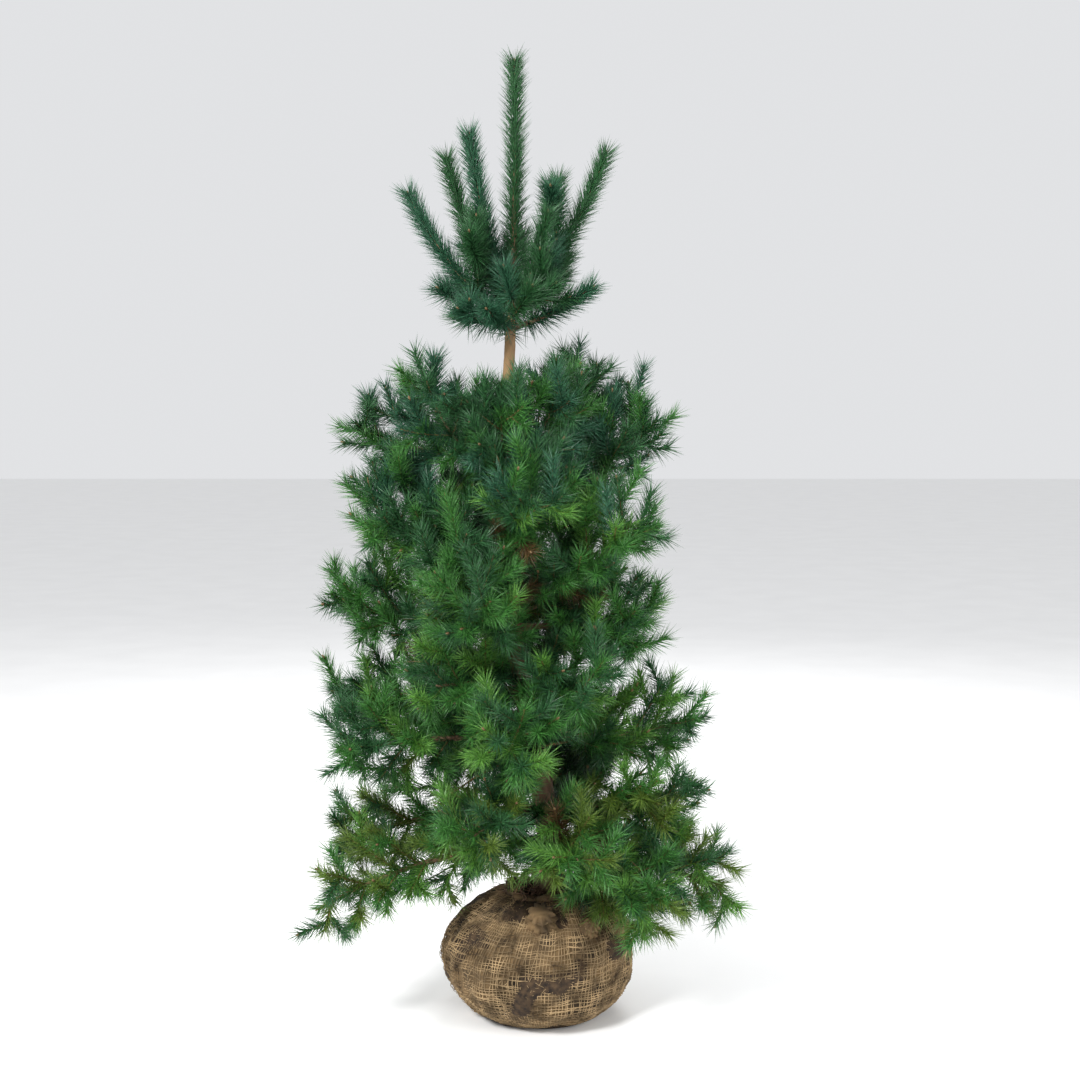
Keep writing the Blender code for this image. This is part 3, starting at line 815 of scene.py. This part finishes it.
# %% Bare twigs, and the pieces of wood
BARE_TWIGS = (  # start height, direction, reach, rise
    (1.02, 20, 0.20, 0.10), (1.10, 335, 0.18, -0.05), (0.66, 10, 0.26, 0.06), (0.64, 215, 0.30, -0.09),
    (0.52, 320, 0.30, -0.12), (0.50, 20, 0.34, -0.10), (0.44, 190, 0.36, -0.14), (0.86, 190, 0.30, 0.02),
    (0.72, 300, 0.22, 0.08), (1.26, 250, 0.14, 0.02), (0.40, 250, 0.24, -0.04), (0.46, 100, 0.28, -0.06))
BARE_BEND = (0.5, 0.1)
BARE_CROOK = 0.010
BARE_CROOK_RATE = 14
BARE_RADII = (0.0042, 0.0012)
CROOK_SEED = 1795655956
noise.seed_set(CROOK_SEED)
for height, direction, reach, rise in BARE_TWIGS:
    line = shoot_line(height, direction, reach, rise, BARE_BEND)
    line = [p + noise.noise_vector(p * BARE_CROOK_RATE) * (BARE_CROOK * i / len(line))
            for i, p in enumerate(line)]
    radii = [blend(*BARE_RADII, i / (len(line) - 1)) for i in range(len(line))]
    twigs.append(tube(line, radii, TWIG_SIDES))
limb_piece = piece("limbs", *gathered(limbs), LIMB_SKIN, "bark")
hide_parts(*[f"bough_{number + 1:02d}" for number in range(len(BOUGHS))])
piece("twigs", *gathered(twigs), TWIG_SKIN, "bark")
piece("buds", *gathered(buds), BUD_SKIN, "bark")

# %% [markdown]
# A pine carries its needles in pairs all round the shoot, wide open at its foot and leaning forward at
# its tip. Hair could draw them, but it leaves no mesh. Geometry Nodes walks along each shoot's curve,
# turns each needle round by the golden angle and leans it out by its place. The needle is a three-sided
# spike, in one straight length or in two with a bend. The result is realized to one mesh.

# %% The tree of nodes for needles
GOLDEN_ANGLE = math.pi * (3 - math.sqrt(5))
NEEDLE_SIDES = 3
NEEDLE_BOW = 1.6
ROLL_JITTER = 0.5
TWIST_RANGE = 3.0
LEAN_SPREAD = (0.70, 1.26)
SIZE_SPREAD = (0.76, 1.06)
TIP_SHORTER = 0.06
TIP_POWER = 4.0
INPUTS = (("Spacing", "NodeSocketFloat"), ("Length", "NodeSocketFloat"), ("Width", "NodeSocketFloat"),
          ("Foot Lean", "NodeSocketFloat"), ("Tip Lean", "NodeSocketFloat"), ("Fade", "NodeSocketFloat"),
          ("Segments", "NodeSocketInt"), ("Seed", "NodeSocketInt"), ("Finish", "NodeSocketMaterial"))


def chance(web, seed, low, high, extra):
    """A random number for each needle. Inputs 2 and 3 of the node are its bounds, and 8 its seed."""
    sockets = {2: low, 3: high, 8: seed + extra}
    return web.node("FunctionNodeRandomValue", {"data_type": "FLOAT"}, sockets, 1)


def turned(web, rotation, x, z):
    angles = web.node("ShaderNodeCombineXYZ", {}, {"X": x, "Z": z})
    by = web.node("FunctionNodeEulerToRotation", {}, {0: angles})
    return web.node("FunctionNodeRotateRotation", {"rotation_space": "LOCAL"}, {0: rotation, 1: by})


def spike_nodes(web, given):
    """One needle: a cone that bends to a side by the square of the height."""
    sockets = {"Vertices": NEEDLE_SIDES, "Side Segments": given["Segments"], "Radius Top": 0.0,
               "Radius Bottom": given["Width"] * 0.5, "Depth": given["Length"]}
    spike = web.node("GeometryNodeMeshCone", {"fill_type": "NGON"}, sockets)
    height = web.node("ShaderNodeSeparateXYZ", {}, {0: web.node("GeometryNodeInputPosition")}, 2)
    bow = web.node("ShaderNodeCombineXYZ", {}, {"X": height * height * NEEDLE_BOW})
    return web.node("GeometryNodeSetPosition", {}, {"Geometry": spike, "Offset": bow})


def needle_nodes():
    tree = bpy.data.node_groups.new("needles along shoots", "GeometryNodeTree")
    sides = tree.interface
    sides.new_socket("Geometry", in_out="INPUT", socket_type="NodeSocketGeometry")
    for name, kind in INPUTS:
        sides.new_socket(name, in_out="INPUT", socket_type=kind)
    sides.new_socket("Geometry", in_out="OUTPUT", socket_type="NodeSocketGeometry")
    web = Web(tree)
    entry = tree.nodes.new("NodeGroupInput")
    given = {name: Value(web, entry.outputs[name]) for name, _ in INPUTS}
    seed = given["Seed"]
    keep = tree.nodes.new("GeometryNodeCaptureAttribute")
    keep.capture_items.new("FLOAT", "Share")
    tree.links.new(entry.outputs["Geometry"], keep.inputs[0])
    tree.links.new(web.node("GeometryNodeSplineParameter").socket, keep.inputs[1])
    share = Value(web, keep.outputs[1])
    sockets = {"Curve": Value(web, keep.outputs[0]), "Length": given["Spacing"]}
    points = web.node("GeometryNodeCurveToPoints", {"mode": "LENGTH"}, sockets)
    tangent = Value(web, points.socket.node.outputs["Tangent"])
    along = web.node("FunctionNodeAlignRotationToVector", {"axis": "Z"}, {"Vector": tangent})
    jitter = chance(web, seed, -ROLL_JITTER, ROLL_JITTER, 1)
    roll = web.node("GeometryNodeInputIndex") * GOLDEN_ANGLE + jitter
    early = (1 - share) ** given["Fade"]
    lean = given["Foot Lean"] * early + given["Tip Lean"] * (1 - early)
    rotation = turned(web, along, 0.0, roll)
    rotation = turned(web, rotation, lean * chance(web, seed, *LEAN_SPREAD, 2), 0.0)
    rotation = turned(web, rotation, 0.0, chance(web, seed, -TWIST_RANGE, TWIST_RANGE, 3))
    size = chance(web, seed, *SIZE_SPREAD, 4) * (1 - share**TIP_POWER * TIP_SHORTER)
    sockets = {"Points": points, "Instance": spike_nodes(web, given), "Rotation": rotation, "Scale": size}
    grown = web.node("GeometryNodeInstanceOnPoints", {}, sockets)
    real = web.node("GeometryNodeRealizeInstances", {}, {0: grown})
    sockets = {"Geometry": real, "Material": given["Finish"]}
    done = web.node("GeometryNodeSetMaterial", {}, sockets)
    tree.links.new(done.socket, tree.nodes.new("NodeGroupOutput").inputs[0])
    return tree


NEEDLE_TREE = needle_nodes()
print("needle tree has", len(NEEDLE_TREE.nodes), "nodes")

# %% [markdown]
# The brushes of the top whorl are dense, so a needle stands there about every third of a millimetre. The
# rest of the count is dealt out evenly over the other shoots. Stems are bare near the trunk.

# %% Where the needles stand
NEEDLE_WIDTH = 0.0029
NEEDLE_COUNT = 226000
TOP_GAP = 0.00029
BARE_SHARE = 0.36
BARE_STEPS = 2


def needled_part(shoot):
    """The stretch of a shoot that carries needles."""
    first = 0
    if shoot.root > STEM_FROM and not shoot.close:
        first = int(len(shoot.line) * BARE_SHARE)
    if shoot.close and shoot.line[0].z < TRUNK_TIP - 0.001:
        first = BARE_STEPS
    return shoot.line[first:]


def needled_length(chosen):
    return sum(length_of(needled_part(s)) for s in chosen)


needled = needled_length([s for s in shoots if not s.close])
top_count = needled_length([s for s in shoots if s.close]) / TOP_GAP
spacing = needled / (NEEDLE_COUNT - top_count)
print("needles at the top:", int(top_count))
print("needled length", round(needled, 2), "one needle each", round(spacing * 1000, 2), "mm")

# %% [markdown]
# Needles of one spray share an age, and with it a colour: bluish, deep, fresh, olive or dead. The near-black
# shade tint is painted shade in the crown's interior. One colour with noise would speckle every spray
# alike, so each tint is a mesh with a material of its own. A big mesh is dealt out over several pieces.

# %% Needles, tint by tint
BENT_TINTS = ("fresh",)
MOST_TRIANGLES = 185000
NEEDLE_LOOK = (0.36, 0.0, 0.45)  # roughness, bump, specular
NEEDLE_GRAIN = 150
OPEN_LEANS = (math.radians(54), math.radians(35), 1.0)
CLOSE_LEANS = (math.radians(108), math.radians(38), 5.5)
TINT_COLOURS = {
    "blue": ((0.004, 0.032, 0.017), (0.046, 0.165, 0.082)),
    "deep": ((0.004, 0.030, 0.010), (0.042, 0.155, 0.048)),
    "green": ((0.008, 0.056, 0.009), (0.075, 0.255, 0.046)),
    "fresh": ((0.020, 0.090, 0.012), (0.150, 0.360, 0.055)),
    "olive": ((0.026, 0.068, 0.008), (0.160, 0.250, 0.038)),
    # near-black needles close to the trunk: painted shade in the crown's interior
    "shade": ((0.002, 0.017, 0.005), (0.020, 0.075, 0.020)),
    "dead": ((0.040, 0.022, 0.007), (0.135, 0.080, 0.030)),
}


def needles(name, tint, chosen, gap, leans, segments, number):
    """Needles along the chosen shoots, as one plain mesh."""
    data = bpy.data.curves.new(name, "CURVE")
    data.dimensions = "3D"
    for shoot in chosen:
        line = needled_part(shoot)
        spline = data.splines.new("POLY")
        spline.points.add(len(line) - 1)
        for point, place in zip(spline.points, line):
            point.co = (*place, 1)
    holder = placed(name + "_lines", data)
    grow = holder.modifiers.new("Needles", "NODES")
    grow.node_group = NEEDLE_TREE
    skin = finish("needle_" + name, two_tone(*TINT_COLOURS[tint], NEEDLE_GRAIN), *NEEDLE_LOOK)
    length = sum(s.needle for s in chosen) / len(chosen)
    given = (gap, length, NEEDLE_WIDTH, *leans, segments, SEED + number, skin)
    values = dict(zip((name for name, _ in INPUTS), given))
    for socket in NEEDLE_TREE.interface.items_tree:
        if socket.in_out == "INPUT" and socket.name in values:
            grow[socket.identifier] = values[socket.name]
    grown = holder.evaluated_get(bpy.context.evaluated_depsgraph_get())
    mesh = bpy.data.meshes.new_from_object(grown)
    bpy.data.objects.remove(holder)
    made = placed("needles_of_" + name, mesh)
    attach(made, "root")
    print(made.name, "has", triangles_of(mesh), "triangles")
    return made


for number, tint in enumerate(TINT_COLOURS):
    for close in (True, False):
        chosen = [s for s in shoots if s.tint == tint and s.close == close]
        if not chosen:
            continue
        gap = TOP_GAP if close else spacing
        leans = CLOSE_LEANS if close else OPEN_LEANS
        segments = 2 if close or tint in BENT_TINTS else 1
        triangles = needled_length(chosen) / gap * (6 * segments - 2)
        groups = math.ceil(triangles / MOST_TRIANGLES)
        for k in range(groups):
            name = f"{tint}{'_top' if close else ''}_{k + 1}"
            made = needles(name, tint, chosen[k::groups], gap, leans, segments, number * 10 + k)
            nodes = [n for n, t in node_tint.items() if t == tint]
            if k == 0:
                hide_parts(*nodes)

# %% [markdown]
# The ball is dark soil in a square of coarse burlap: a lumpy core, and a skin with soft creases and
# pleats that fade downwards. A cloth simulation could settle the folds, but noise that moves the outline
# of the solid ball keeps it where the solids have it.

# %% Soil and cloth of the root ball
SOIL_SKIN = finish("soil", two_tone((0.012, 0.007, 0.004), (0.075, 0.046, 0.024), 75), 0.85, 0.004)
CLOTH_SKIN = finish("burlap", two_tone((0.014, 0.009, 0.004), (0.200, 0.128, 0.060), 16), 0.85, 0.001)
PLEAT_FOOT = 0.05
PLEAT_FADE = 0.2
PLEAT_COUNT = 17
PLEAT_WANDER = 11
PLEAT_DEPTH = 0.0052
CRUMPLE_DEPTH = 0.0100
CRUMPLE_RATE = 22
SAG_DEPTH = 0.0085
SAG_RATES = (14, 6)
CLOTH_SUNK = 0.004
FOOT_FADE = 0.03
LUMP_RATE = 13
SOIL_SHAPE = (80, 240, -0.0032, 0.016)  # rings, sides, how far out of the skin, lumps
CLOTH_SHAPE = (90, 300, 0.0, 0.002)


def ball_point(angle, turn):
    size = BALL_RADIUS * math.cos(angle) ** BALL_ROUNDNESS
    if angle < 0:
        height = BALL_MIDDLE * (1 - math.sin(angle) / math.sin(BALL_FOOT_ANGLE))
    else:
        above = SOIL_LEVEL - BALL_MIDDLE
        height = BALL_MIDDLE + above * math.sin(angle) / math.sin(BALL_PAD_ANGLE)
    rise = smooth((height - BALL_MIDDLE) / (SOIL_LEVEL - BALL_MIDDLE))
    shift = blend(BALL_SHIFT, PAD_SHIFT, rise) * min(1.0, height / BALL_FOOT_FADE)
    point = around(turn) * size + Vector((shift, 0, height))
    fade = min(1.0, height / BALL_FOOT_FADE, (SOIL_LEVEL - height) / BALL_PAD_FADE)
    lump = noise.noise(point * BALL_LUMP_SCALE + Vector((3.1, 0.7, 5.2)))
    return point + around(turn) * (BALL_LUMP * lump * fade)


def folds(point, turn):
    """How far the cloth stands out: pleats that fade away from the knots, and soft creases."""
    rise = smooth((point.z - PLEAT_FOOT) / PLEAT_FADE)
    pleat = math.sin(turn * PLEAT_COUNT + PLEAT_WANDER * noise.noise(point * 5)) * PLEAT_DEPTH * rise
    crumple = 0.5 - abs(noise.noise(point * CRUMPLE_RATE + Vector((0, 0, 3))))
    sag = noise.noise(Vector((point.x * SAG_RATES[0], point.y * SAG_RATES[0], point.z * SAG_RATES[1])))
    return pleat + CRUMPLE_DEPTH * crumple + SAG_DEPTH * sag - CLOTH_SUNK


def ball_skin(share, turn, out=0.0):
    """A point of the cloth, from the foot at share 0 to the rim at share 1."""
    angle = blend(BALL_FOOT_ANGLE, BALL_PAD_ANGLE, share)
    point = ball_point(angle, turn)
    return point + around(turn) * (folds(point, turn) * min(1, point.z / FOOT_FADE) + out)


def ball_mesh(rings, sides, out, lump):
    corners = []
    for i in range(rings):
        for j in range(sides):
            turn = math.tau * j / sides
            point = ball_skin(i / (rings - 1), turn, out)
            point += around(turn) * (lump * noise.noise(point * LUMP_RATE + UP * 2.7))
            corners.append(point)
    return corners, ring_faces(rings, sides)


soil = piece("soil_core", *ball_mesh(*SOIL_SHAPE), SOIL_SKIN, "root_ball")
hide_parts("root_ball")
piece("burlap_cloth", *ball_mesh(*CLOTH_SHAPE), CLOTH_SKIN, "root_ball")

# %% [markdown]
# In the open weave each yarn passes over one and under the next. A pattern in the material would lie
# flat, so every yarn is a thin tube. In places the net sinks into the cloth, as worn cloth closes up.

# %% Weave of the burlap
YARN_SKIN = finish("burlap_yarn", two_tone((0.055, 0.034, 0.015), (0.50, 0.350, 0.185), 24), 0.85, 0.0004)
YARN_PITCH = 0.0085
YARN_RADIUS = 0.0011
YARN_SIDES = 3
YARN_OVER = 0.0009
NET_RISE = 0.0021
NET_WAVE = 0.0060
NET_WAVE_RATE = 11
UPRIGHT_SWAY = 0.05
ROUND_WANDER = 1.1
MIDDLE_RING = math.tau * BALL_RADIUS
SKIN_LENGTH = 0.46


def net_rise(point):
    """Where the coarse net stands out of the closer cloth, and where it sinks into it."""
    return NET_RISE + NET_WAVE * noise.noise(point * NET_WAVE_RATE + Vector((4.2, 1.5, 0.4)))


def above_floor(points, least):
    return [Vector((p.x, p.y, max(p.z, least))) for p in points]


def yarn(points):
    return tube(above_floor(points, YARN_RADIUS), [YARN_RADIUS] * len(points), YARN_SIDES)


uprights = int(MIDDLE_RING / YARN_PITCH)
rounds = int(SKIN_LENGTH / YARN_PITCH)
yarns = []
for j in range(uprights):
    turn = math.tau * j / uprights
    sway = UPRIGHT_SWAY * noise.noise(Vector((j * 0.7, 0, 0)))
    line = []
    for i in range(rounds + 1):
        cross = YARN_OVER * (1 if (i + j) % 2 else -1)
        place = ball_skin(i / rounds, turn)
        swayed = turn + sway * math.sin(i * 0.3)
        line.append(ball_skin(i / rounds, swayed, net_rise(place) + cross))
    yarns.append(yarn(line))
for i in range(1, rounds):
    line = []
    for j in range(uprights):
        cross = YARN_OVER * (-1 if (i + j) % 2 else 1)
        share = (i + ROUND_WANDER * noise.noise(Vector((j * 0.11, i * 0.9, 0)))) / rounds
        turn = math.tau * j / uprights
        line.append(ball_skin(share, turn, net_rise(ball_skin(i / rounds, turn)) + cross))
    yarns.append(yarn(line + [line[0]]))
half = len(yarns) // 2
piece("burlap_weave_1", *gathered(yarns[:half]), YARN_SKIN, "root_ball")
piece("burlap_weave_2", *gathered(yarns[half:]), YARN_SKIN, "root_ball")

# %% [markdown]
# The corners of the cloth are gathered into knots over the shoulder, and each is tied with three turns of
# twine. A bunch is a short tube with a waist, whose pleats deepen towards its mouth.

# %% Knots and ties
KNOT_SIDES = 72
KNOT_RINGS = 40
KNOT_FOOT = -0.5
KNOT_MOUTH = 1.05
KNOT_LEAN = 0.75
KNOT_WIDTH = 0.9
WAIST_AT = 0.62
WAIST_DEPTH = 0.45
WAIST_WIDTH = 0.10
TIE_WRAPS = (-0.0032, 0, 0.0032)
TIE_SHARE = 0.52
TIE_RADIUS = 0.0017
TIE_SIDES = 6
TIE_STEPS = 24


def knot_radius(size, share):
    """A bunch that swells, is tied at its waist and opens again."""
    waist = 1 - WAIST_DEPTH * math.exp(-(((share - WAIST_AT) / WAIST_WIDTH) ** 2))
    swell = math.sqrt(max(0.05, 1 - (1.25 * (share - 0.35)) ** 2))
    return size * waist * swell * KNOT_WIDTH


def knot_pleats(i, turn):
    share = i / (KNOT_RINGS - 1)
    return 1 + (0.05 + 0.16 * share) * math.sin(9 * turn + 5 * share) + 0.07 * math.sin(23 * turn)


bunches, ties = [], []
for direction, height, size in KNOTS:
    rise = math.asin((height - BALL_MIDDLE) / (SOIL_LEVEL - BALL_MIDDLE))
    middle = ball_point(rise, math.radians(direction))
    way = (outward(direction) * KNOT_LEAN + UP).normalized()
    side = way.orthogonal().normalized()
    other = way.cross(side)
    shares = [i / (KNOT_RINGS - 1) for i in range(KNOT_RINGS)]
    points = [middle + way * blend(KNOT_FOOT * size, KNOT_MOUTH * size, share) for share in shares]
    radii = [knot_radius(size, share) for share in shares]
    bunches.append(tube(points, radii, KNOT_SIDES, knot_pleats))
    tied = middle + way * blend(KNOT_FOOT * size, KNOT_MOUTH * size, WAIST_AT)
    turns = [math.tau * k / TIE_STEPS for k in range(TIE_STEPS + 1)]
    ring = [(side * math.cos(a) + other * math.sin(a)) * (size * TIE_SHARE) for a in turns]
    for wrap in TIE_WRAPS:
        line = [tied + way * wrap + point for point in ring]
        ties.append(tube(line, [TIE_RADIUS] * len(line), TIE_SIDES))
piece("burlap_knots", *gathered(bunches), CLOTH_SKIN, "root_ball")

# %% [markdown]
# Jute frays. Without its hundreds of loose ends the even grid would look printed. Each is a thin tube
# that follows the skin of the ball a few millimetres out.

# %% Loose fibres on the cloth
FIBRE_COUNT = 900
FIBRE_POINTS = 6
FIBRE_SHARES = (0.05, 1.0)
FIBRE_STEEP = 0.013
FIBRE_WIDE = 0.022
FIBRE_CURL = 0.008
FIBRE_OUT = 0.003
FIBRE_ARCH = 0.0040
FIBRE_RADIUS = 0.0007
FIBRE_FLOOR = 0.001
rng = random.Random(SEED)
for number in range(FIBRE_COUNT):
    share, turn = rng.uniform(*FIBRE_SHARES), rng.uniform(0, math.tau)
    steep, wide = rng.uniform(-FIBRE_STEEP, FIBRE_STEEP), rng.uniform(-FIBRE_WIDE, FIBRE_WIDE)
    line = []
    for k in range(FIBRE_POINTS):
        curled = turn + wide * k + FIBRE_CURL * math.sin(k + number)
        line.append(ball_skin(min(1, share + steep * k), curled, FIBRE_OUT + FIBRE_ARCH * math.sin(k * 0.8)))
    ties.append(tube(above_floor(line, FIBRE_FLOOR), [FIBRE_RADIUS] * FIBRE_POINTS, YARN_SIDES))
piece("ties_and_fibres", *gathered(ties), YARN_SKIN, "root_ball")

# %% [markdown]
# The top of the ball is open: clods of soil lie round the trunk's foot. A sculpt would do for one view.
# Rings drawn in from the cloth's rim and moved by two sizes of noise hold from all sides.

# %% Soil round the trunk
TOP_RINGS = 26
TOP_SIDES = 110
TOP_OVER_RIM = 1.02
TOP_SUNK = 0.008
MOUND = 0.010
MOUND_RINGS = 7
CLODS = ((42, 0.008), (130, 0.004))
corners = []
rim = [ball_skin(1.0, math.tau * j / TOP_SIDES) for j in range(TOP_SIDES)]
centre = sum(rim, Vector()) / TOP_SIDES
for i in range(TOP_RINGS):
    mound = MOUND * math.sin(math.pi * min(1, i / MOUND_RINGS) / 2)
    for point in rim:
        place = centre.lerp(point, TOP_OVER_RIM * (1 - i / TOP_RINGS))
        clod = sum(noise.noise(place * rate) * depth for rate, depth in CLODS)
        corners.append(Vector((place.x, place.y, SOIL_LEVEL - TOP_SUNK + mound + (clod if i else 0))))
corners.append(Vector((centre.x, centre.y, SOIL_LEVEL)))
last = (TOP_RINGS - 1) * TOP_SIDES
faces = ring_faces(TOP_RINGS, TOP_SIDES, capped=False)
faces += [(last + j, last + (j + 1) % TOP_SIDES, len(corners) - 1) for j in range(TOP_SIDES)]
faces.append(tuple(reversed(range(TOP_SIDES))))
piece("soil_top", corners, faces, SOIL_SKIN, "root_ball")

# %% [markdown]
# The cloth's edge is rolled to a thick uneven hem. It follows the rim as one closed tube, creased across
# by noise that is worked out round the section, so that no seam shows.

# %% The cloth's rolled edge
HEM_OUT = 1.03
HEM_WAVE = 0.07
HEM_WAVE_RATE = 24
HEM_RISE = 0.004
HEM_RISE_WAVE = 0.010
HEM_RADIUS = 0.009
HEM_RADIUS_WAVE = 0.005
HEM_RADIUS_RATE = 33
HEM_SIDES = 14
CREASE_DEPTH = 0.22
CREASE_ROUND = 1.5
CREASE_ALONG = 0.45
hem = []
for j in range(TOP_SIDES + 1):
    point = rim[j % TOP_SIDES]
    wave = noise.noise(point * HEM_WAVE_RATE)
    lifted = UP * (HEM_RISE + HEM_RISE_WAVE * wave)
    hem.append(centre + (point - centre) * (HEM_OUT + HEM_WAVE * wave) + lifted)
radii = [HEM_RADIUS + HEM_RADIUS_WAVE * noise.noise(point * HEM_RADIUS_RATE) for point in hem]
radii[-1] = radii[0]


def hem_creases(i, turn):
    x, y = math.cos(turn) * CREASE_ROUND, math.sin(turn) * CREASE_ROUND
    return 1 + CREASE_DEPTH * noise.noise(Vector((x, y, (i % TOP_SIDES) * CREASE_ALONG)))


piece("burlap_edge", *tube(hem, radii, HEM_SIDES, hem_creases), CLOTH_SKIN, "root_ball")

# %% [markdown]
# Straw sticks out of the soil, and strips of bark hang from the trunk's foot. They could be painted on,
# but as thin tubes they also hide the hard line where trunk and soil meet.

# %% Straw and strips of bark
STRAW_COUNT = 420
STRAW_OUT = (0.03, 0.11)
STRAW_REACH = (0.02, 0.07)
STRAW_SAG = 0.02
STRAW_RADIUS = 0.0009
STRIP_COUNT = 170
STRIP_HEIGHTS = (0.02, 0.16)
STRIP_REACH = (0.03, 0.08)
STRIP_CURL = 0.006
STRIP_RADIUS = 0.0010
TUFT_STEPS = 5
TUFT_POINT = 0.0003
tufts = []


def tuft(line, radius):
    return tube(line, [radius] * TUFT_STEPS + [TUFT_POINT], YARN_SIDES)


rng = random.Random(SEED + 1)
for _ in range(STRAW_COUNT):
    turn = rng.uniform(0, math.tau)
    start = centre + around(turn) * rng.uniform(*STRAW_OUT)
    start.z = SOIL_LEVEL + 0.002
    way = Vector((rng.uniform(-1, 1), rng.uniform(-1, 1), rng.uniform(0.1, 0.9))).normalized()
    reach = rng.uniform(*STRAW_REACH)
    line = [start + way * (reach * k / TUFT_STEPS) - UP * (STRAW_SAG * (k / TUFT_STEPS) ** 2)
            for k in range(TUFT_STEPS + 1)]
    tufts.append(tuft(line, STRAW_RADIUS))
for _ in range(STRIP_COUNT):
    turn = rng.uniform(0, math.tau)
    high = SOIL_LEVEL + rng.uniform(*STRIP_HEIGHTS)
    start = trunk_centre(high) + around(turn) * trunk_radius(high)
    reach = rng.uniform(*STRIP_REACH)
    line = [start + around(turn) * (STRIP_CURL * math.sin(k)) - UP * (reach * k / TUFT_STEPS)
            for k in range(TUFT_STEPS + 1)]
    tufts.append(tuft(line, STRIP_RADIUS))
piece("straw_and_bark_fibres", *gathered(tufts), LIMB_SKIN, "bark")

# %% [markdown]
# The floor is one pale square, far wider than the view, so that no edge of it shows. A wall behind the
# tree would catch shadows. The floor is the stage and not the object.

# %% The floor
FLOOR_HALF = 30.0
FLOOR_PAINT = two_tone((0.87, 0.87, 0.865), (0.90, 0.90, 0.895), 3)
floor_corners = [(x * FLOOR_HALF, y * FLOOR_HALF, 0) for x, y in ((-1, -1), (1, -1), (1, 1), (-1, 1))]
floor_mesh = bpy.data.meshes.new("floor")
floor_mesh.from_pydata(floor_corners, [], [(0, 1, 2, 3)])
floor_mesh.materials.append(finish("floor", FLOOR_PAINT, 0.8))
floor = placed("floor", floor_mesh)
